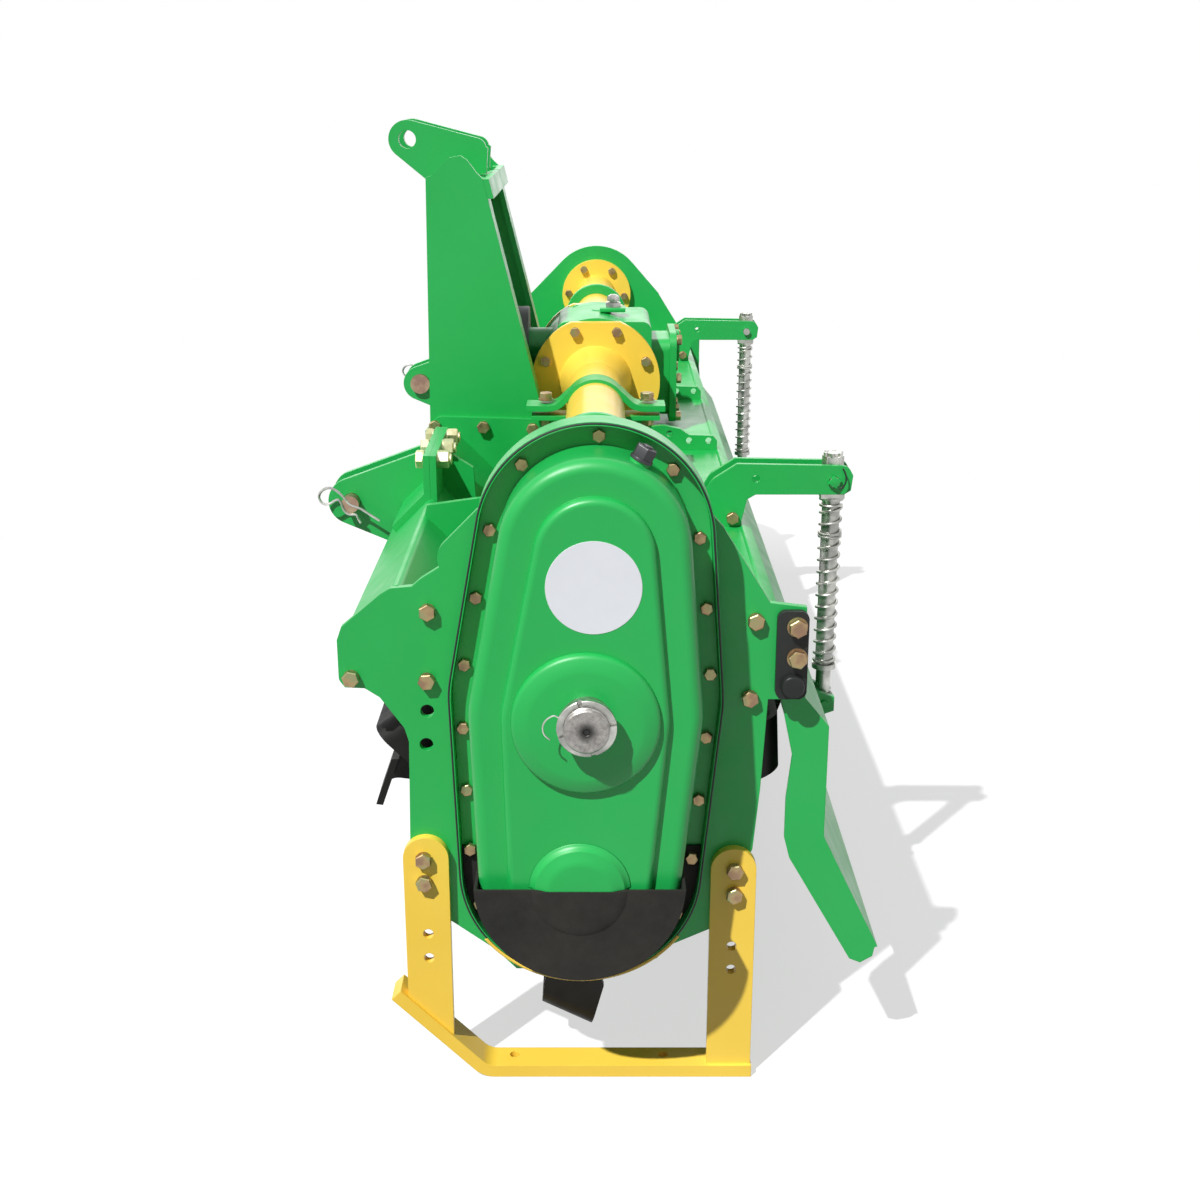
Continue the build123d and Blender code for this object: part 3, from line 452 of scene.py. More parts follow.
class Finishes:
    """All the finishes of the machine."""

    PEEL = Grain(420.0, 2.0)
    PITS = Grain(900.0, 2.0)
    MOULD = Grain(300.0)

    green = Enamel(
        "green enamel", Slot.GREEN, 0.38, PEEL, 0.25,
        ((0.007, 0.36, 0.061), (0.010, 0.395, 0.074), (0.016, 0.42, 0.088)),
    )
    yellow = Enamel(
        "yellow enamel", Slot.YELLOW, 0.34, PEEL, 0.25,
        ((0.87, 0.57, 0.052), (0.93, 0.63, 0.072), (0.96, 0.68, 0.09)),
    )
    guard = RoughBlack(
        "guard black", Slot.BLACK, 0.72, Grain(260.0, 4.0, 0.6), 0.6,
        ((0.014, 0.0135, 0.012), (0.028, 0.026, 0.022)),
    )
    strap = RoughBlack(
        "strap black", Slot.BLACK, 0.42, Grain(120.0, 4.0, 0.6), 0.12,
        ((0.016, 0.018, 0.017), (0.027, 0.029, 0.028)),
    )
    blade = RoughBlack(
        "blade black", Slot.BLACK, 0.5, Grain(90.0, 4.0, 0.6), 0.25,
        ((0.0028, 0.0027, 0.0024), (0.007, 0.0065, 0.0055)),
    )
    zinc = Plating(
        "silver zinc", Slot.ZINC, 0.3, PITS, 0.1, ((0.34, 0.34, 0.32), (0.47, 0.47, 0.44), (0.60, 0.60, 0.56))
    )
    gold = Plating(
        "yellow zinc", Slot.GOLD, 0.4, PITS, 0.1, ((0.30, 0.19, 0.12), (0.40, 0.29, 0.15), (0.31, 0.31, 0.16))
    )
    cream = Plating(
        "pale yellow zinc", Slot.GOLD, 0.4, PITS, 0.1,
        ((0.60, 0.57, 0.32), (0.70, 0.68, 0.42), (0.58, 0.64, 0.38)),
    )
    pin = Plating(
        "pin zinc", Slot.GOLD, 0.42, PITS, 0.1, ((0.34, 0.21, 0.16), (0.42, 0.28, 0.20), (0.46, 0.36, 0.24))
    )
    plug = Film(
        "black plug plastic", Slot.GREY, 0.4, MOULD, 0.05, ((0.0279, 0.0279, 0.03255), (0.03, 0.03, 0.035))
    )
    shield = Film(
        "grey shield plastic", Slot.GREY, 0.5, MOULD, 0.05, ((0.093, 0.09765, 0.1023), (0.10, 0.105, 0.11))
    )
    sticker = Film(
        "white film", Slot.GREY, 0.4, Grain(60.0), 0.02, ((0.744, 0.7626, 0.7998), (0.80, 0.82, 0.86))
    )
    # Painted shade: flat black laid in the rim's groove and in the axle's centre hole.
    seal = Film(
        "black seal rubber", Slot.BLACK, 0.55, Grain(200.0), 0.05,
        ((0.01116, 0.01116, 0.01209), (0.012, 0.012, 0.013)),
    )


# Shapes


def facing(place: Vector, way: Vector, turn: float = 0.0) -> Matrix:
    """A matrix that stands local Z along a direction, with a turn about it in radians."""
    tilt = Vector((0, 0, 1)).rotation_difference(way.normalized())
    return Matrix.Translation(place) @ tilt.to_matrix().to_4x4() @ turned_z(turn)


def turned_z(angle: float) -> Matrix:
    """A turn round local Z, in radians."""
    return Matrix.Rotation(angle, 4, "Z")


def raised(height: float) -> Matrix:
    """A move along local Z, in millimetres."""
    return Matrix.Translation((0, 0, height * MM))


@dataclass(frozen=True)
class Bar:
    """A round or many-sided bar in millimetres, with a bevel round its upper end."""

    radius: float
    height: float
    sides: int = 28
    rim: float = 0.0
    steps: int = 2


def drum(bm: bmesh.types.BMesh, place: Matrix, bar: Bar) -> None:
    """Stands a closed bar on its place.

    Args:
        bm: The mesh that takes the shape.
        place: Foot of the bar, with local Z along it.
        bar: Its sizes.
    """
    height = bar.height * MM
    made = bmesh.ops.create_cone(
        bm, cap_ends=True, segments=bar.sides, radius1=bar.radius * MM, radius2=bar.radius * MM,
        depth=height, matrix=place @ raised(bar.height / 2),
    )["verts"]
    if not bar.rim:
        return
    home = place.inverted()
    upper = {vert for vert in made if (home @ vert.co).z > height / 2}
    edges = {edge for vert in upper for edge in vert.link_edges if edge.other_vert(vert) in upper}
    bmesh.ops.bevel(
        bm, geom=list(edges), offset=bar.rim * MM, affect="EDGES", segments=bar.steps, profile=0.5,
        material=-1,
    )


def stack(bm: bmesh.types.BMesh, place: Matrix, bars: Sequence[Bar]) -> None:
    """Stands bars on top of each other along local Z.

    Args:
        bm: The mesh that takes the shape.
        place: Foot of the lowest bar.
        bars: The bars, from the lowest up.
    """
    level = 0.0
    for bar in bars:
        drum(bm, place @ raised(level), bar)
        level += bar.height


def lathe(bm: bmesh.types.BMesh, place: Matrix, profile: Sequence[Mark], steps: int) -> None:
    """Spins a profile round local Z.

    Args:
        bm: The mesh that takes the shape.
        place: Foot of the axis.
        profile: Radius and height pairs in millimetres; the first is joined to the last
            where both are off the axis.
        steps: Steps of a full turn.
    """
    verts = [bm.verts.new(place @ Vector((radius * MM, 0, height * MM))) for radius, height in profile]
    edges = [bm.edges.new(pair) for pair in zip(verts, verts[1:])]
    if profile[0][0] > 0 and profile[-1][0] > 0:
        edges.append(bm.edges.new((verts[-1], verts[0])))
    bmesh.ops.spin(
        bm, geom=verts + edges, cent=place.translation, axis=place.to_3x3() @ Vector((0, 0, 1)),
        angle=FULL_TURN, steps=steps, use_merge=True,
    )
    bmesh.ops.remove_doubles(bm, verts=bm.verts, dist=WELD_DISTANCE)


def tube_along(bm: bmesh.types.BMesh, points: Sequence[Vector], radius: float, sides: int = 8) -> None:
    """A round wire along a line of points.

    Args:
        bm: The mesh that takes the shape.
        points: The middle line.
        radius: Radius of the wire, in millimetres.
        sides: Sides of the section.
    """
    runs = [(b - a).normalized() for a, b in zip(points, points[1:])]
    ways = [runs[0]] + [(a + b).normalized() for a, b in zip(runs, runs[1:])] + [runs[-1]]
    start = facing(points[0], ways[0])
    ring = bmesh.ops.create_circle(bm, radius=radius * MM, segments=sides, matrix=start)["verts"]
    ends = [list(ring)]
    edges = list({edge for vert in ring for edge in vert.link_edges})
    for index in range(1, len(points)):
        turn = ways[index - 1].rotation_difference(ways[index]).to_matrix().to_4x4()
        step = Matrix.Translation(points[index]) @ turn @ Matrix.Translation(-points[index - 1])
        grown = bmesh.ops.extrude_edge_only(bm, edges=edges)["geom"]
        ring = new_verts(grown)
        edges = [item for item in grown if isinstance(item, bmesh.types.BMEdge)]
        edges = [edge for edge in edges if all(vert in ring for vert in edge.verts)]
        bmesh.ops.transform(bm, matrix=step, verts=ring)
    ends.append(ring)
    for end in ends:
        rim = {edge for vert in end for edge in vert.link_edges if edge.other_vert(vert) in end}
        bmesh.ops.edgeloop_fill(bm, edges=list(rim))


def new_verts(grown: Sequence[object]) -> list[bmesh.types.BMVert]:
    """The vertices among an operator's results."""
    return [item for item in grown if isinstance(item, bmesh.types.BMVert)]


def prism(bm: bmesh.types.BMesh, section: Sequence[Vector], length: float) -> None:
    """Draws a section out along y.

    Args:
        bm: The mesh that takes the shape.
        section: Corners of the section at its near end.
        length: Length of the prism, in millimetres.
    """
    face = bm.faces.new([bm.verts.new(corner) for corner in section])
    grown = bmesh.ops.extrude_face_region(bm, geom=[face])["geom"]
    bmesh.ops.translate(bm, vec=(0, length * MM, 0), verts=new_verts(grown))


def flowing(corners: Sequence[Vector], steps: int) -> list[Vector]:
    """A smooth line through corner points, for wire.

    Args:
        corners: Points that the line passes through.
        steps: Parts between two corners.

    Returns:
        The dense points.
    """
    line = [corners[0] * 2 - corners[1], *corners, corners[-1] * 2 - corners[-2]]
    points = [corners[0]]
    for a, b, c, d in zip(line, line[1:], line[2:], line[3:]):
        for step in range(1, steps + 1):
            t = step / steps
            square = (2 * a - 5 * b + 4 * c - d) * t * t
            cube = (3 * b - a - 3 * c + d) * t**3
            points.append(0.5 * (2 * b + (c - a) * t + square + cube))
    return points


def on_circle(centre: Mark, radius: float, angle: float) -> Mark:
    """A place on a circle, by its angle in degrees."""
    turn = math.radians(angle)
    return centre[0] + radius * math.cos(turn), centre[1] + radius * math.sin(turn)


class Piece:
    """A new mesh piece that is gathered from shapes and linked at the end."""

    def __init__(
        self, name: str, finish: Finish, body: Body | str = Body.FRAME, slot: Slot | None = None
    ) -> None:
        """Starts an empty piece.

        Args:
            name: Name of the object.
            finish: Its finish.
            body: The body that it rides on.
            slot: The record's material slot, where it isn't the finish's own.
        """
        self.name = name
        self.finish = finish
        self.body = body.value if isinstance(body, Body) else body
        self.slot = slot or finish.slot
        self.bm = bmesh.new()

    def stamp(self, mesh: bpy.types.Mesh, place: Matrix) -> None:
        """Adds a copy of a mesh.

        Args:
            mesh: The mesh.
            place: Where its origin goes.
        """
        before = len(self.bm.verts)
        self.bm.from_mesh(mesh)
        self.bm.verts.ensure_lookup_table()
        bmesh.ops.transform(self.bm, matrix=place, verts=self.bm.verts[before:])

    def link(self, replaced: Sequence[str] = ()) -> bpy.types.Object:
        """Turns the shapes into an object that rides on its body.

        Args:
            replaced: CAD nodes that the piece stands for.

        Returns:
            The new object.
        """
        bmesh.ops.recalc_face_normals(self.bm, faces=self.bm.faces)
        for face in self.bm.faces:
            face.smooth = True
        for edge in self.bm.edges:
            edge.smooth = len(edge.link_faces) == 2 and edge.calc_face_angle(0.0) < SMOOTH_ANGLE
        mesh = bpy.data.meshes.new(self.name)
        self.bm.to_mesh(mesh)
        self.bm.free()
        mesh.materials.append(self.finish.material)
        made = bpy.data.objects.new(self.name, mesh)
        bpy.context.scene.collection.objects.link(made)
        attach(made, self.body)
        if replaced:
            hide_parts(*replaced)
        LOG.info("%s: %d faces on %s", self.name, len(mesh.polygons), self.body)
        return made


@dataclass(frozen=True)
class HexBolt:
    """One bolt head or nut with its washers and thread end, in millimetres."""

    SPRING_SHARE: ClassVar[float] = 0.53
    RIM_SHARE: ClassVar[float] = 0.055

    across: float
    head: float
    washer_r: float = 0.0
    washer_t: float = 0.0
    spring_t: float = 0.0
    thread_r: float = 0.0
    thread: float = 0.0

    def mesh(self) -> bpy.types.Mesh:
        """Builds the bolt standing on the origin with its head up local Z.

        Returns:
            Its mesh.
        """
        bars = (
            Bar(self.washer_r, self.washer_t, 24),
            Bar(self.across * self.SPRING_SHARE, self.spring_t, 20),
            Bar(self.across / math.sqrt(3), self.head, 6, self.across * self.RIM_SHARE, 1),
            Bar(self.thread_r, self.thread, 14, 0.8, 1),
        )
        bm = bmesh.new()
        stack(bm, Matrix.Identity(4), [bar for bar in bars if bar.height])
        mesh = bpy.data.meshes.new("bolt")
        bm.to_mesh(mesh)
        bm.free()
        return mesh


M6_FLUSH = HexBolt(across=11.8, head=6.0)
M8_PLAIN = HexBolt(across=13.2, head=6.0, spring_t=1.8)
M10 = HexBolt(across=15.8, head=6.6, spring_t=2.0)
M10_WASHER = HexBolt(across=15.8, head=6.6, washer_r=10.0, washer_t=1.8, spring_t=2.0)
M10_NUT = HexBolt(across=15.8, head=8.4, washer_r=10.0, washer_t=1.8, thread_r=5.0, thread=5.0)
M12 = HexBolt(across=17.0, head=7.5, washer_r=10.5, washer_t=2.0)
M14_HEAD = HexBolt(across=20.0, head=8.5, spring_t=2.0)
M14_NUT = HexBolt(across=20.0, head=12.0, spring_t=2.0, thread_r=7.0, thread=3.0)
TINE_BOLT = HexBolt(across=22.0, head=9.0)
TINE_NUT = HexBolt(across=22.0, head=11.0, spring_t=3.0, thread_r=7.0, thread=4.0)


# Sub-assemblies


@dataclass(frozen=True)
class BoltCircle:
    """Bolts evenly round a middle in x and z, with the first one's angle in degrees."""

    middle: Mark
    radius: float
    count: int
    first: float

    def marks(self) -> list[Mark]:
        """The bolts' places in x and z."""
        step = 360 / self.count
        angles = [self.first + index * step for index in range(self.count)]
        return [on_circle(self.middle, self.radius, angle) for angle in angles]


@dataclass
class Fitter:
    """Builds every piece of one sub-assembly."""

    machine: Machine

    def bolts(
        self,
        name: str,
        bolt: HexBolt,
        seats: Sequence[tuple[Vector, Way]],
        finish: Finish = Finishes.gold,
        body: Body = Body.FRAME,
    ) -> None:
        """Sets a row of equal bolts as one piece.

        Args:
            name: Name of the piece.
            bolt: Sizes of the bolt.
            seats: Place of each bolt with the way its head faces.
            finish: Their finish.
            body: The body that they ride on.
        """
        piece = Piece(name, finish, body, Slot.GOLD)
        mesh = bolt.mesh()
        for index, (seat, way) in enumerate(seats):
            piece.stamp(mesh, facing(seat, way.vector, index * GOLDEN_TURN))
        bpy.data.meshes.remove(mesh)
        piece.link()

    def ring(self, name: str, bolt: HexBolt, circle: BoltCircle, y: float, way: Way) -> None:
        """Sets a circle of bolts on a face across the machine, with the heads one way."""
        self.bolts(name, bolt, [(self.machine.point(x, y, z), way) for x, z in circle.marks()])

    def wire(
        self,
        name: str,
        corners: Sequence[Vector],
        radius: float,
        finish: Finish,
        body: Body | str = Body.FRAME,
    ) -> None:
        """Bends a wire through corner points as one piece.

        Args:
            name: Name of the piece.
            corners: Points that the wire passes through.
            radius: Its radius, in millimetres.
            finish: Its finish.
            body: The body that it rides on.
        """
        piece = Piece(name, finish, body)
        tube_along(piece.bm, flowing(corners, 4), radius)
        piece.link()

    def turned(self, name: str, finish: Finish, place: Matrix, profile: Sequence[Mark], steps: int) -> Piece:
        """Starts a piece with one turned shape.

        Args:
            name: Name of the piece.
            finish: Its finish.
            place: Foot of the turning axis.
            profile: Radius and height pairs.
            steps: Steps of a full turn.

        Returns:
            The piece, not yet linked.
        """
        piece = Piece(name, finish)
        lathe(piece.bm, place, profile, steps)
        return piece


@dataclass
class EndFitter(Fitter):
    """Builds the pieces of one end of the machine, whose names start with near or far."""

    side: Side

    def named(self, name: str) -> str:
        """The name of a node, body, joint or piece at this end."""
        return f"{self.side.word}_{name}"

    def at(self, x: float, y: float, z: float) -> Vector:
        """A place at this end, with y counted outwards from the machine's middle."""
        return self.machine.point(x, self.side.value * y, z)

    def row(self, name: str, bolt: HexBolt, places: Sequence[Mark], y: float) -> None:
        """Sets bolts that face outwards, on seats at a distance from the machine's middle."""
        self.bolts(self.named(name), bolt, [(self.at(x, y, z), self.side.outward) for x, z in places])


class Paintwork(Fitter):
    """Finishes of the CAD nodes."""

    SLOT_FINISH = {
        Slot.GREEN: Finishes.green,
        Slot.YELLOW: Finishes.yellow,
        Slot.BLACK: Finishes.strap,
        Slot.ZINC: Finishes.zinc,
        Slot.GOLD: Finishes.pin,
        Slot.GREY: Finishes.shield,
    }
    SPECIAL = {"gearcase_guard": Finishes.guard, "rotor_tines": Finishes.blade}

    def build(self) -> None:
        """Gives each CAD node the finish of its slot."""
        slots = {part["node"]: Slot(part["material_slot"]) for part in frame["record"]["subparts"]}
        for name, node in self.machine.nodes.items():
            finish = self.SPECIAL.get(name, self.SLOT_FINISH[slots[name]])
            if not node.material_slots:
                node.data.materials.append(None)
            for slot in node.material_slots:
                slot.material = finish.material


@dataclass
class GearCase(Fitter):
    """Bolts, painted groove shade, disc, plug, bosses and axle end of the side gear case.

    Heights with a sign are measured from the case's rim, with outwards below nought.
    """

    rim: tuple[tuple[float, float, float], ...] = (
        (15.0, 620.0, 117.0), (6.0, 455.0, 138.0), (0.0, 266.0, 126.0),
    )
    lip: float = 16.0
    guard_lip: float = 13.0
    guard_top: float = 290.0
    guard_edge: float = 280.6
    panel: float = -59.0
    boss: float = -67.0
    bolt_marks: tuple[Mark, ...] = (
        (19, 721), (-55, 693), (-87, 628), (-102, 559), (-115, 489), (-118, 421), (-116, 353), (-114, 287),
        (-105, 224), (90, 688), (117, 620), (125, 548), (130, 479), (127, 411), (121, 342), (115, 277),
        (100, 213), (-70, 170), (0, 152), (75, 168),
    )
    sticker_at: Mark = (14.0, 592.0)
    sticker_bar: Bar = Bar(45.5, 0.5, 72, 0.15, 1)
    filler_lean: float = math.radians(27.0)
    filler_reach: float = 95.0
    filler_back: float = 19.0
    filler_bars: tuple[Bar, ...] = (Bar(11.5, 3.0, 32, 0.8), Bar(11.0, 11.0, 6, 1.0), Bar(5.0, 1.6, 24, 0.5))
    dome_at: Mark = (6.4, 456.0)
    dome_profile: tuple[Mark, ...] = (
        (0.0, -7.8), (72.5, -7.8), (72.3, -6.0), (71.8, -3.8), (70.4, -1.6), (68.0, -0.3), (57.5, 2.6),
        (54.0, 3.1), (0.0, 3.1),
    )
    low_boss: Mark = (0.0, 278.0)
    low_dome_profile: tuple[Mark, ...] = (
        (0.0, 0.2), (51.0, 0.2), (48.5, 1.0), (46.6, 3.0), (44.5, 5.6), (36.0, 8.4), (33.0, 9.6),
        (29.0, 10.0), (0.0, 10.0),
    )
    guard_boss_profile: tuple[Mark, ...] = (
        (0.0, -0.4), (48.0, -0.4), (46.0, 0.9), (42.5, 2.2), (38.0, 2.8), (0.0, 2.8),
    )
    idler: Mark = (7.3, 463.6)
    axle_r: float = 22.0
    axle_length: float = 33.0
    axle_chamfer: float = 1.6
    thread_start: float = 2.4
    thread_depth: float = 1.0
    thread_pitch: float = 1.8
    centre_r: float = 3.4
    centre_depth: float = 10.0
    nut_r: float = 28.5
    nut_front: float = 25.4
    nut_back: float = 17.4
    nut_edge: float = 0.8
    slot_depth: float = 4.0
    slot_turns: tuple[float, ...] = (12.0, 104.0, 195.0, 284.0)
    slot_half: float = 5.0
    nut_gap: float = 0.15
    spacer_step: float = 4.0
    wire_depth: float = 2.0
    wire_marks: tuple[Mark, ...] = (
        (-12.3, 470.4), (-20.4, 475.5), (-24.2, 476.5), (-31.0, 471.9), (-34.0, 464.8), (-32.5, 457.4),
        (-27.2, 452.3),
    )

    def build(self) -> None:
        """Builds every piece of the case."""
        self.cover_bolts()
        self.rim_lines()
        disc = Piece("case_sticker", Finishes.sticker)
        drum(disc.bm, self.on_case(self.sticker_at, self.panel + 0.1), self.sticker_bar)
        disc.link()
        self.filler_plug()
        self.bosses()
        self.axle_end()
        self.castle_nut()
        y = self.machine.case_face + self.boss - self.nut_front + self.wire_depth
        corners = [self.machine.point(x, y, z) for x, z in self.wire_marks]
        self.wire("locking_wire", corners, 0.8, Finishes.zinc)

    def on_case(self, mark: Mark, height: float) -> Matrix:
        """A place over the case's rim, with local Z outwards."""
        return self.machine.stand(mark[0], self.machine.case_face + height, mark[1], Way.NEAR)

    def outline(self, inset: float, start: float = -90.0, sweep: float = 360.0) -> list[Mark]:
        """The rim's outline by the direction of its outward normal.

        Args:
            inset: Distance inside the rim's outer edge.
            start: First normal direction, in degrees from the rear.
            sweep: Turn of the normal to the last point, in degrees.

        Returns:
            Places in x and z.
        """
        steps = round(sweep / 2)
        points = []
        for step in range(steps + 1):
            angle = math.radians(start + sweep * step / steps)
            c, d = math.cos(angle), math.sin(angle)
            x, z, r = max(self.rim, key=lambda circle: circle[0] * c + circle[1] * d + circle[2])
            points.append((x + (r - inset) * c, z + (r - inset) * d))
        return points

    def cover_bolts(self) -> None:
        """Sets the bolts on the cover's lip, and the low ones on the guard's strip."""
        seats = []
        for x, z in self.bolt_marks:
            depth = self.lip if z > self.guard_top else self.guard_lip
            seats.append((self.machine.point(x, self.machine.case_face + depth, z), Way.NEAR))
        self.bolts("case_cover_bolts", M6_FLUSH, seats)

    def rim_lines(self) -> None:
        """Lays black painted shade in the rim's groove, the green edge on the rim, and below it a yellow line
        painted as a reflection of the skid.
        """
        lines = (
            # Painted shade: a black line stands in for the shade in the groove near the rim's outer edge.
            ("rim_seal", Finishes.seal, self.outline(1.7), 0.0, 1.0),
            ("rim_edge", Finishes.green, self.outline(3.4), -0.1, 0.8),
            # Painted reflection: a yellow bead along the rim's low edge stands in for the yellow skid
            # reflected there.
            ("rim_low_bead", Finishes.yellow, self.outline(0.6, -142.0, 106.0), 0.4, 2.2),
        )
        for name, finish, outline, depth, radius in lines:
            piece = Piece(name, finish)
            y = self.machine.case_face + depth
            tube_along(piece.bm, [self.machine.point(x, y, z) for x, z in outline], radius)
            piece.link()

    def filler_plug(self) -> None:
        """Screws the black plug on the leaning filler neck."""
        way = Vector((math.sin(self.filler_lean), 0.0, math.cos(self.filler_lean)))
        x, z = Machine.SHAFT
        root = self.machine.point(x, self.machine.case_face - self.filler_back, z)
        plug = Piece("filler_plug", Finishes.plug)
        stack(plug.bm, facing(root + way * self.filler_reach * MM, way), self.filler_bars)
        plug.link()

    def bosses(self) -> None:
        """Raises the sloped idler boss, and the rotor's boss above and below the guard's edge."""
        place = self.on_case(self.dome_at, self.boss)
        self.turned("idler_dome", Finishes.green, place, self.dome_profile, 96).link()
        place = self.on_case(self.low_boss, self.panel)
        upper = self.turned("rotor_dome", Finishes.green, place, self.low_dome_profile, 72)
        self.cut(upper, Way.UP)
        y = self.machine.face("gearcase_guard", Way.NEAR)
        place = self.machine.stand(self.low_boss[0], y, self.low_boss[1], Way.NEAR)
        lower = self.turned("guard_boss", Finishes.guard, place, self.guard_boss_profile, 72)
        self.cut(lower, Way.DOWN)

    def cut(self, piece: Piece, kept: Way) -> None:
        """Cuts a piece level with the guard's upper edge and links it.

        Args:
            piece: The piece.
            kept: The side that stays, up or down.
        """
        bm = piece.bm
        cut = bmesh.ops.bisect_plane(
            bm, geom=bm.verts[:] + bm.edges[:] + bm.faces[:], plane_no=(0, 0, 1),
            plane_co=self.machine.point(0.0, 0.0, self.guard_edge),
            clear_outer=kept is Way.DOWN, clear_inner=kept is Way.UP,
        )["geom_cut"]
        bmesh.ops.edgeloop_fill(bm, edges=[item for item in cut if isinstance(item, bmesh.types.BMEdge)])
        piece.link()

    def axle_end(self) -> None:
        """Turns the axle end with its thread run-out, and fills its centre hole with painted shade."""
        place = self.on_case(self.idler, self.boss)
        steel = TurnedSteel(
            "turned steel", Slot.ZINC, (0.40, 0.385, 0.365), (0.20, 0.19, 0.18), tuple(place.translation)
        )
        r, length, hole_r, chamfer = self.axle_r, self.axle_length, self.centre_r, self.axle_chamfer
        bottom = length - self.centre_depth
        profile = [(0.0, bottom - 1.0), (hole_r, bottom), (hole_r, length - 0.5), (hole_r + 0.5, length)]
        level = length - self.thread_start
        profile += [(r - chamfer, length), (r, length - chamfer), (r, level)]
        while level > self.nut_front:
            profile.append((r - self.thread_depth, level - self.thread_pitch / 2))
            level -= self.thread_pitch
            profile.append((r, level))
        profile += [(r, 0.0), (0.0, 0.0)]
        self.turned("axle_end", steel, place, profile, 56).link(["idler_axle"])
        # Painted shade: a flat black plug fills the centre hole up to 2 mm under the face, in place of the
        # shade inside it.
        hole = Piece("axle_centre_hole", Finishes.seal)
        drum(hole.bm, place @ raised(bottom - 0.4), Bar(hole_r - 0.1, 8.4, 24))
        hole.link()

    def castle_nut(self) -> None:
        """Turns the slotted ring nut and the spacer behind it."""
        place = self.on_case(self.idler, self.boss)
        r, back, front, edge = self.nut_r, self.nut_back, self.nut_front, self.nut_edge
        inner = self.axle_r + self.nut_gap
        root = front - self.slot_depth
        nut = ((inner, back), (r - edge, back), (r, back + edge), (r, root), (inner, root))
        piece = self.turned("castle_nut", Finishes.zinc, place, nut, 64)
        outer, low, high = r - self.spacer_step, 0.5, back - 0.3
        spacer = ((inner, low), (outer, low), (outer, high), (inner, high))
        lathe(piece.bm, place, spacer, 64)
        crown = ((inner, root), (r, root), (r, front - edge), (r - edge, front), (inner, front))
        turns = [*self.slot_turns, self.slot_turns[0] + 360.0]
        for here, there in zip(turns, turns[1:]):
            lean = place @ turned_z(math.radians(here + self.slot_half))
            verts = [piece.bm.verts.new(lean @ Vector((a * MM, 0, b * MM))) for a, b in crown]
            bmesh.ops.spin(
                piece.bm, geom=[piece.bm.faces.new(verts)], cent=place.translation,
                axis=place.to_3x3() @ Vector((0, 0, 1)),
                angle=math.radians(there - here - 2 * self.slot_half), steps=14,
            )
        piece.link()


@dataclass
class EndPlate(EndFitter):
    """Bolts of a side plate, its skid and its hinge strap."""

    plate_bolts: tuple[Mark, ...] = ((-153, 535), (-233, 464), (-156, 461), (177, 525), (173, 442))
    skid_bolts: tuple[Mark, ...] = ((-165, 264), (-165, 237), (162, 251), (162, 223))
    strap_bolts: tuple[Mark, ...] = ((218, 521), (219, 488))
    hinge: Mark = (215, 458)
    hinge_bar: Bar = Bar(12.0, 8.0, 32, 2.6, 4)
    skid_t: float = 10.0
    strap_t: float = 8.0

    def build(self) -> None:
        """Builds the bolts and the round black head of the hinge pin."""
        out = self.machine.plate_out
        self.row("side_plate_bolts", M10, self.plate_bolts, out)
        self.row("skid_bolts", M10, self.skid_bolts, out + self.skid_t)
        self.row("hinge_bolts", M12, self.strap_bolts, out + self.strap_t)
        piece = Piece(self.named("hinge_pin_head"), Finishes.strap)
        place = self.at(self.hinge[0], out + self.strap_t, self.hinge[1])
        drum(piece.bm, facing(place, self.side.outward.vector), self.hinge_bar)
        piece.link()


@dataclass
class FarCovers(Fitter):
    """Bolts of the far bearing and the far tube cap."""

    bearing_bolt_r: float = 72.5
    bearing_t: float = 12.0
    cap_bolt_r: float = 57.0
    cap_t: float = 10.0

    def build(self) -> None:
        """Sets both bolt circles."""
        out = self.machine.plate_out
        bearing = BoltCircle((0.0, self.machine.rotor_z), self.bearing_bolt_r, 6, 30.0)
        self.ring("far_bearing_bolts", M10, bearing, out + self.bearing_t, Way.FAR)
        cap = BoltCircle(Machine.SHAFT, self.cap_bolt_r, 6, 30.0)
        self.ring("far_cap_bolts", M10, cap, out + self.cap_t, Way.FAR)


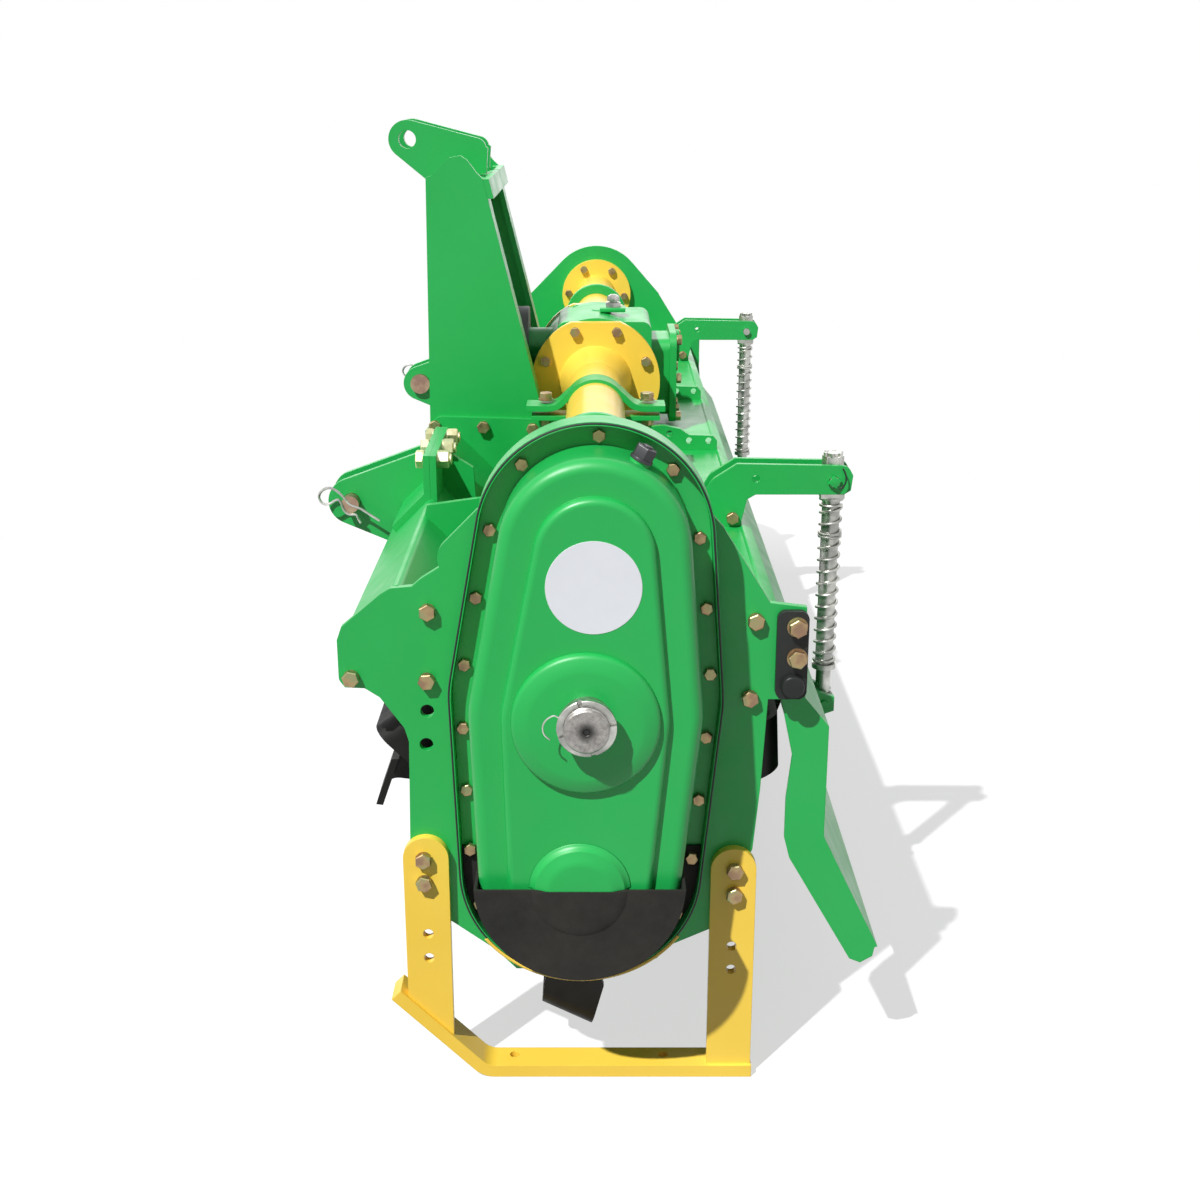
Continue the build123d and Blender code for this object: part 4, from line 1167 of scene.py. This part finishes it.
@dataclass
class CrossTube(EndFitter):
    """Flange bolts of a cross tube, with its strap over the support."""

    gearbox_bolts: BoltCircle = BoltCircle(Machine.SHAFT, 79.0, 8, 22.5)
    gearbox_flange: float = 13.0
    end_bolts: BoltCircle = BoltCircle(Machine.SHAFT, 57.0, 6, 57.0)
    end_flange: float = 12.0
    strap_y: float = 305.0
    strap_bolts: Mark = (-52.0, 84.0)
    strap_top: float = 632.0
    saddle_low: float = 608.0
    strap_t: float = 8.0
    strap_ring: float = 43.4
    strap_marks: tuple[Mark, ...] = (
        (-78.0, 0.0), (-62.0, 0.0), (-48.0, 0.0), (-38.0, 2.5), (-31.0, 8.0), (-25.0, 14.0),
    )

    def build(self) -> None:
        """Builds the bolts and the strap."""
        y = self.side.value * (self.machine.face("gearbox", Way.FAR) + self.gearbox_flange)
        self.ring(self.named("gearbox_bolts"), M8_PLAIN, self.gearbox_bolts, y, self.side.outward)
        y = self.side.value * (self.machine.plate_in - self.end_flange)
        self.ring(self.named("tube_end_bolts"), M8_PLAIN, self.end_bolts, y, self.side.inward)
        top = [(self.at(x, self.strap_y, self.strap_top), Way.UP) for x in self.strap_bolts]
        low = [(self.at(x, self.strap_y, self.saddle_low), Way.DOWN) for x in self.strap_bolts]
        self.bolts(self.named("strap_bolts"), M10_WASHER, top)
        self.bolts(self.named("strap_nuts"), M10_NUT, low)
        self.clamp_strap()

    def strap_line(self) -> list[Mark]:
        """The strap's middle line, from its front foot over the tube to the rear one.

        Returns:
            Places in x and z.
        """
        foot = self.strap_top - self.strap_t / 2
        line = [(x, foot + rise) for x, rise in self.strap_marks]
        rear = [(2 * Machine.SHAFT[0] - x, z) for x, z in reversed(line)]
        over = [on_circle(Machine.SHAFT, self.strap_ring, 140 - 10 * step) for step in range(11)]
        return line + over + rear

    def clamp_strap(self) -> None:
        """Bends the strap over the cross tube in one smooth line."""
        low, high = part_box(self.named("strap"))
        width = high.y - low.y
        y = self.side.value * self.strap_y - width / 2 / MM
        points = flowing([self.machine.point(x, y, z) for x, z in self.strap_line()], 3)
        piece = Piece(self.named("clamp_strap"), Finishes.green)
        bm = piece.bm
        verts = [bm.verts.new(point) for point in points]
        edges = [bm.edges.new(pair) for pair in zip(verts, verts[1:])]
        wall = bmesh.ops.extrude_edge_only(bm, edges=edges)["geom"]
        bmesh.ops.translate(bm, vec=(0, width, 0), verts=new_verts(wall))
        bmesh.ops.recalc_face_normals(bm, faces=bm.faces)
        if bm.faces[:][len(bm.faces) // 2].normal.z < 0:
            bmesh.ops.reverse_faces(bm, faces=bm.faces[:])
        whole = bm.faces[:] + bm.edges[:] + bm.verts[:]
        bmesh.ops.solidify(bm, geom=whole, thickness=self.strap_t * MM)
        piece.link([self.named("strap")])


@dataclass
class DriveLine(Fitter):
    """Shell, breather and cover bolts of the centre gearbox, tube rings and the hood's strip."""

    shell_r: float = 91.0
    shell_start: float = -12.0
    shell_sweep: float = 204.0
    shell_steps: int = 60
    breather_at: Mark = (41.0, -20.0)
    pad_at: Mark = (40.0, -20.0)
    pad_size: tuple[float, float, float] = (38.0, 34.0, 6.0)
    pad_rim: float = 1.2
    breather_foot: Bar = Bar(12.7, 7.0, 6, 1.0)
    breather_cap: tuple[Mark, ...] = (
        (0.0, 6.5), (6.0, 6.5), (6.0, 9.0), (9.0, 9.4), (9.6, 12.0), (8.4, 16.0), (5.0, 18.4), (0.0, 19.0),
    )
    collar_y: float = 600.0
    collar_profile: tuple[Mark, ...] = (
        (39.3, 0.0), (54.5, 0.0), (55.8, 1.3), (55.8, 10.7), (54.5, 12.0), (39.3, 12.0),
    )
    cover_edge: float = 10.0
    cover_seat: float = 6.0
    strip_section: tuple[Mark, ...] = (
        (186.0, 538.2), (188.5, 539.6), (191.0, 539.2), (201.5, 532.0), (201.5, 528.5), (190.0, 536.4),
    )

    def build(self) -> None:
        """Builds the pieces between the two ends."""
        top = self.machine.face("gearbox", Way.UP)
        shell = []
        for step in range(self.shell_steps + 1):
            angle = self.shell_start + self.shell_sweep * step / self.shell_steps
            x, z = on_circle(Machine.SHAFT, self.shell_r, angle)
            shell.append((x, min(z, top + 0.6)))
        self.long_piece("gearbox_shell", shell, self.machine.face("gearbox", Way.FAR) - 0.5)
        self.breather(top)
        for side in Side:
            place = self.machine.stand(
                Machine.SHAFT[0], side.value * self.collar_y, Machine.SHAFT[1], side.outward
            )
            collar = self.turned(f"{side.word}_tube_collar", Finishes.green, place, self.collar_profile, 56)
            collar.link()
        self.rear_cover_bolts()
        self.long_piece("hood_edge_strip", self.strip_section, self.machine.plate_in - 0.5)

    def long_piece(self, name: str, section: Sequence[Mark], half: float) -> None:
        """Builds a green piece of one section across the machine.

        Args:
            name: Name of the piece.
            section: Its corners in x and z.
            half: Half of its length.
        """
        piece = Piece(name, Finishes.green)
        prism(piece.bm, [self.machine.point(x, -half, z) for x, z in section], 2 * half)
        piece.link()

    def breather(self, top: float) -> None:
        """Screws the breather on its green pad on the gearbox.

        Args:
            top: Height of the gearbox's top.
        """
        x, y = self.breather_at
        thick = self.pad_size[2]
        pad = Piece("breather_pad", Finishes.green)
        block = bmesh.ops.create_cube(pad.bm, size=MM)["verts"]
        bmesh.ops.scale(pad.bm, vec=self.pad_size, verts=block)
        bmesh.ops.translate(pad.bm, vec=self.machine.point(*self.pad_at, top + thick / 2), verts=block)
        bmesh.ops.bevel(
            pad.bm, geom=pad.bm.edges[:], offset=self.pad_rim * MM, affect="EDGES", segments=2,
            profile=0.5, material=-1,
        )
        pad.link()
        piece = Piece("gearbox_breather", Finishes.zinc)
        foot = self.machine.stand(x, y, top + thick, Way.UP)
        drum(piece.bm, foot, self.breather_foot)
        lathe(piece.bm, foot, self.breather_cap, 32)
        piece.link()

    def rear_cover_bolts(self) -> None:
        """Sets the bolts of the rear cover plate."""
        low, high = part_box("gearbox_rear_cover")
        x = (high.x - self.machine.origin.x) / MM - self.cover_seat
        z = (low.z + high.z) / 2 / MM
        half_y = (high.y - low.y) / 2 / MM - self.cover_edge
        half_z = (high.z - low.z) / 2 / MM - self.cover_edge
        marks = [(side * half_y, lift * half_z) for side in (-1, 1) for lift in (-1, 0, 1)]
        marks += [(0.0, -half_z), (0.0, half_z)]
        seats = [(self.machine.point(x, y, z + lift), Way.REAR) for y, lift in marks]
        self.bolts("rear_cover_bolts", M8_PLAIN, seats)


@dataclass
class HitchEnd(EndFitter):
    """Bolts and clips of a mast plate, a link bracket and the beam."""

    mast_y: float = 194.0
    mast_bolts: tuple[Mark, ...] = ((-214, 573), (-145, 572), (-75, 569))
    clamp_ys: tuple[float, ...] = (540.0, 478.0, 416.0)
    clamp_z: float = 605.0
    clamp_front: float = -192.1
    clamp_rear: float = -176.0
    clip_y: float = 460.0
    clip_wire_r: float = 1.7
    clip_marks: tuple[Mark, ...] = (
        (-261, 506), (-273, 514), (-285, 522), (-298, 527.5), (-305, 536), (-314, 545), (-324, 549),
        (-333, 545), (-337, 537), (-333, 529), (-325, 528), (-312, 533.5), (-306, 520), (-300, 514.5),
        (-291, 514), (-288, 508), (-285, 503),
    )

    def build(self) -> None:
        """Builds the hitch pieces of one end."""
        self.row("mast_bolts", M10, self.mast_bolts, self.mast_y)
        self.clamp_row("clamp_bolts", M14_HEAD, self.clamp_front, Way.FRONT)
        self.clamp_row("clamp_nuts", M14_NUT, self.clamp_rear, Way.REAR)
        corners = [self.at(x, self.clip_y, z) for x, z in self.clip_marks]
        self.wire(self.named("link_clip"), corners, self.clip_wire_r, Finishes.zinc)

    def clamp_row(self, name: str, bolt: HexBolt, x: float, way: Way) -> None:
        """Sets the pale bolts or nuts through a link bracket and the beam."""
        seats = [(self.at(x, y, self.clamp_z), way) for y in self.clamp_ys]
        self.bolts(self.named(name), bolt, seats, Finishes.cream)


@dataclass
class BoardSpring(EndFitter):
    """Spring, bolts and pins of the trailing board's linkage at one end."""

    arm_y: float = 586.0
    arm_half: float = 18.0
    arm_bolt: Mark = (177.0, 549.0)
    rod_x: float = 296.0
    trunnion_z: float = 593.0
    top_z: float = 567.0
    low_z: float = 360.0
    coil_r: float = 12.6
    wire_r: float = 1.7
    wire_sides: int = 7
    turns: int = 16
    turn_steps: int = 18
    hoop_z: float = 523.8
    hoop_steps: int = 24
    sleeve: Mark = (9.35, 10.7)
    sleeve_gap: float = 1.0
    nut_bar: Bar = Bar(13.0, 12.6, 6, 1.1)
    nut_drop: float = 16.2
    nut_turn: float = 0.3
    lugs: int = 6
    lug_bar: Bar = Bar(2.7, 5.4, 10, 0.6, 1)
    lug_at: Mark = (9.6, 11.6)
    head_bar: Bar = Bar(8.2, 5.0, 4, 1.0)
    head_turn: float = math.radians(12)
    head_sunk: float = 4.0
    pin_out: float = 1.6
    pin_marks: tuple[Mark, ...] = ((8.5, 17.0), (12.0, 9.5), (12.6, 2.0), (10.0, -4.5), (5.0, -7.5))

    def build(self) -> None:
        """Builds the linkage pieces of one end."""
        self.coil()
        x, z = self.arm_bolt
        for name, bolt, way in (("arm_bolt", M8_PLAIN, Way.NEAR), ("arm_nut", M10_NUT, Way.FAR)):
            y = self.y + way.value[1] * self.arm_half
            self.bolts(self.named(name), bolt, [(self.machine.point(x, y, z), way)])
        self.rod_nut()
        self.pin_heads()

    @property
    def y(self) -> float:
        """Place of the rod across the machine."""
        return self.side.value * self.arm_y

    def rod_nut(self) -> None:
        """Screws the castle nut on the rod's top, over the CAD one."""
        piece = Piece(self.named("rod_nut"), Finishes.zinc, self.named("rod"))
        z = self.machine.face(self.named("spring_rod"), Way.UP) - self.nut_drop
        foot = self.machine.stand(self.rod_x, self.y, z, Way.UP, self.nut_turn)
        drum(piece.bm, foot, self.nut_bar)
        out, up = self.lug_at
        for lug in range(self.lugs):
            lean = foot @ turned_z(math.radians(lug * 360 / self.lugs))
            drum(piece.bm, lean @ Matrix.Translation((out * MM, 0, up * MM)), self.lug_bar)
        piece.link()

    def pin_heads(self) -> None:
        """Dresses the trunnion pin's outer end with a square head and its split pin."""
        body = self.named("trunnion")
        y = self.machine.face(body, self.side.outward)
        head = Piece(self.named("trunnion_head"), Finishes.green, body)
        place = self.machine.stand(self.rod_x, y, self.trunnion_z, self.side.outward, self.head_turn)
        drum(head.bm, place @ raised(-self.head_sunk), self.head_bar)
        head.link()
        out = y + self.side.value * self.pin_out
        corners = [self.machine.point(self.rod_x + x, out, self.trunnion_z + z) for x, z in self.pin_marks]
        self.wire(self.named("split_pin"), corners, 1.0, Finishes.strap, body)

    def coil_points(self) -> list[Vector]:
        """The coil's middle line, with its ends wound close.

        Returns:
            Its points.
        """
        level = self.low_z + self.wire_r + 0.2
        high = self.top_z - self.wire_r - 0.2
        flat = 2 * self.wire_r
        mids = self.turns - 3
        points = []
        for rise in [flat] + [(high - level - 3 * flat) / mids] * mids + [flat]:
            for step in range(self.turn_steps):
                angle = FULL_TURN * step / self.turn_steps
                x = self.rod_x + self.coil_r * math.cos(angle)
                z = level + rise * step / self.turn_steps
                points.append(self.machine.point(x, self.y + self.coil_r * math.sin(angle), z))
            level += rise
        return points

    def hoop_points(self, z: float) -> list[Vector]:
        """A closed turn of the spring's wire round the coil, a little tilted.

        Args:
            z: Height of its middle.

        Returns:
            Its points.
        """
        tilt = facing(self.machine.point(self.rod_x, self.y, z), Vector((0.03, 0.0, 1.0)))
        radius = (self.coil_r + 0.4) * MM
        angles = [FULL_TURN * step / self.hoop_steps for step in range(self.hoop_steps + 1)]
        return [tilt @ Vector((radius * math.cos(angle), radius * math.sin(angle), 0)) for angle in angles]

    def coil(self) -> None:
        """Winds the spring over its sleeve, in place of the CAD one."""
        piece = Piece(self.named("spring_coil"), Finishes.zinc, self.named("trunnion"))
        tube_along(piece.bm, self.coil_points(), self.wire_r, self.wire_sides)
        for lift in (-self.wire_r, self.wire_r):
            tube_along(piece.bm, self.hoop_points(self.hoop_z + lift), self.wire_r, self.wire_sides)
        inner, outer = self.sleeve
        height = self.top_z - self.low_z - 2 * self.sleeve_gap
        foot = self.machine.stand(self.rod_x, self.y, self.low_z + self.sleeve_gap, Way.UP)
        lathe(piece.bm, foot, ((inner, 0.0), (outer, 0.0), (outer, height), (inner, height)), 32)
        coil = piece.link([self.named("spring")])
        slide = self.named("rod_slide")
        top = self.machine.point(self.rod_x, self.y, self.top_z)
        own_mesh(coil)


@dataclass
class RotorTrim(Fitter):
    """Bolts of the tine rotor."""

    flanges: int = 8
    seats: int = 6
    flange_t: float = 10.0
    tine_t: float = 8.0
    end_gap: float = 15.0
    first_turn: float = 185.0
    flange_turn: float = 22.5
    bolt_radii: Mark = (62.0, 84.0)

    def build(self) -> None:
        """Bolts every blade to its flange, with the end flanges' outer sides bare."""
        span = 2 * (self.machine.plate_in - self.end_gap - self.flange_t / 2)
        last = self.flanges - 1
        heads: list[tuple[Vector, Way]] = []
        nuts: list[tuple[Vector, Way]] = []
        for index in range(self.flanges):
            middle = -span / 2 + index * span / last
            for seat in range(self.seats):
                side = Side.NEAR if seat % 2 else Side.FAR
                if index == (last if side is Side.FAR else 0):
                    continue
                angle = math.radians(self.first_turn + seat * 360 / self.seats + index * self.flange_turn)
                for radius in self.bolt_radii:
                    x = radius * math.sin(angle)
                    z = self.machine.rotor_z + radius * math.cos(angle)
                    head_y = middle + side.value * (self.flange_t / 2 + self.tine_t)
                    heads.append((self.machine.point(x, head_y, z), side.outward))
                    nut_y = middle - side.value * self.flange_t / 2
                    nuts.append((self.machine.point(x, nut_y, z), side.inward))
        self.bolts("tine_bolts", TINE_BOLT, heads, Finishes.blade, Body.ROTOR)
        self.bolts("tine_nuts", TINE_NUT, nuts, Finishes.blade, Body.ROTOR)


# Studio


@dataclass(frozen=True)
class Lamp:
    """A square lamp: the way to it, its distance and side in metres, its power."""

    name: str
    way: tuple[float, float, float]
    distance: float
    size: float
    watts: float


@dataclass(frozen=True)
class Studio:
    """Camera, lamps, pale surround and floor."""

    camera_place: tuple[float, float, float] = (18.0, -2436.0, 1044.0)
    pitch: float = math.radians(18.069)
    lens: float = 48.0
    sensor: float = 36.0
    shift_x: float = 0.0017
    floor_size: float = 14.0
    floor_grey: float = 0.16
    shadow_hold: float = 0.62
    shadow_fade: Mark = (1.1, 1.9)
    ambient: float = 0.16
    sun_way: tuple[float, float, float] = (-38.0, -51.0, 77.0)
    sun_strength: float = 4.5
    sun_width: float = math.radians(1.0)
    target: tuple[float, float, float] = (0.0, -0.2, 0.45)
    lamps: tuple[Lamp, ...] = (
        Lamp("fill lamp", (60, -55, 35), 5.0, 3.5, 8.0),
        Lamp("back lamp", (0, 92, 40), 5.0, 4.0, 62.0),
    )

    def build(self, machine: Machine) -> None:
        """Sets up the whole studio.

        Args:
            machine: The machine that it stands round.
        """
        self.camera(machine)
        self.surround()
        self.floor()
        self.sun()
        for lamp in self.lamps:
            self.hang(lamp)

    def place(self, name: str, data: bpy.types.ID) -> bpy.types.Object:
        """Links a camera, a light or a mesh to the scene.

        Args:
            name: Name of the object.
            data: What it holds.

        Returns:
            The object.
        """
        made = bpy.data.objects.new(name, data)
        bpy.context.scene.collection.objects.link(made)
        return made

    def camera(self, machine: Machine) -> None:
        """Places the camera as the photographer stood.

        Args:
            machine: The machine that it looks at.
        """
        data = bpy.data.cameras.new("camera")
        data.lens = self.lens
        data.sensor_width = self.sensor
        data.shift_x = self.shift_x
        made = self.place("camera", data)
        made.location = machine.point(*self.camera_place)
        made.rotation_euler = (math.pi / 2 - self.pitch, 0.0, 0.0)
        bpy.context.scene.camera = made

    def hang(self, lamp: Lamp) -> None:
        """Hangs a lamp that looks at the machine.

        Args:
            lamp: Its sizes and power.
        """
        data = bpy.data.lights.new(lamp.name, "AREA")
        data.energy = lamp.watts
        data.size = lamp.size
        made = self.place(lamp.name, data)
        out = Vector(lamp.way).normalized()
        made.location = Vector(self.target) + out * lamp.distance
        made.rotation_euler = out.to_track_quat("Z", "Y").to_euler()
        made.visible_camera = False

    def sun(self) -> None:
        """Sets the hard key light."""
        data = bpy.data.lights.new("sun", "SUN")
        data.energy = self.sun_strength
        data.angle = self.sun_width
        made = self.place("sun", data)
        made.rotation_euler = Vector(self.sun_way).to_track_quat("Z", "Y").to_euler()

    def surround(self) -> None:
        """Lights the scene evenly and shows white behind the machine."""
        bench = Bench(bpy.data.worlds.new("surround"))
        bpy.context.scene.world = bench.owner
        even = bench.add("Background", {"Color": WHITE, "Strength": self.ambient}).outputs[0]
        white = bench.add("Background", {"Color": WHITE}).outputs[0]
        mix = bench.add("MixShader", {"Fac": self.plain_view(bench), 1: even, 2: white})
        bench.add("OutputWorld", {"Surface": mix.outputs[0]})

    def plain_view(self, bench: Bench) -> Socket:
        """One for rays of the camera, of gloss and of glass, and nought for others.

        Args:
            bench: The bench that takes the nodes.

        Returns:
            The value socket.
        """
        path = bench.add("LightPath", {})
        total = path.outputs["Is Camera Ray"]
        for kind in ("Is Glossy Ray", "Is Transmission Ray"):
            total = bench.add("Math", {0: total, 1: path.outputs[kind]}, operation="MAXIMUM").outputs[0]
        return total

    def floor(self) -> None:
        """Lays a plain floor that looks white and keeps a pale shadow near the machine."""
        bm = bmesh.new()
        bmesh.ops.create_grid(bm, x_segments=1, y_segments=1, size=self.floor_size / 2)
        mesh = bpy.data.meshes.new("floor")
        bm.to_mesh(mesh)
        bm.free()
        made = self.place("floor", mesh)
        bench = Bench(bpy.data.materials.new("pale floor"))
        grey = {"Base Color": (*[self.floor_grey] * 3, 1.0), "Roughness": 0.9, "Specular IOR Level": 0.1}
        ground = bench.add("BsdfPrincipled", grey).outputs[0]
        white = bench.add("Emission", {"Color": WHITE}).outputs[0]
        lit = bench.add("BsdfDiffuse", {"Color": WHITE}).outputs[0]
        far = bench.add("VectorMath", {0: bench.place()}, operation="LENGTH").outputs["Value"]
        fade = bench.between(far, self.shadow_hold, 1.0, self.shadow_fade)
        pale = bench.add("MixShader", {"Fac": fade, 1: lit, 2: white}).outputs[0]
        seen = bench.add("MixShader", {"Fac": self.plain_view(bench), 1: ground, 2: pale}).outputs[0]
        bench.add("OutputMaterial", {"Surface": seen})
        mesh.materials.append(bench.owner)


def main() -> None:
    """Builds the pieces and the studio in order."""
    logging.basicConfig(level=logging.INFO, format="%(name)s: %(message)s")
    machine = Machine(frame)
    groups = (
        Paintwork, GearCase, EndPlate, FarCovers, CrossTube, DriveLine, HitchEnd, BoardSpring, RotorTrim,
    )
    for group in groups:
        if issubclass(group, EndFitter):
            for side in Side:
                group(machine, side).build()
        else:
            group(machine).build()
    Studio().build(machine)
    bpy.context.scene.view_settings.view_transform = "Standard"


if __name__ == "__main__":
    main()
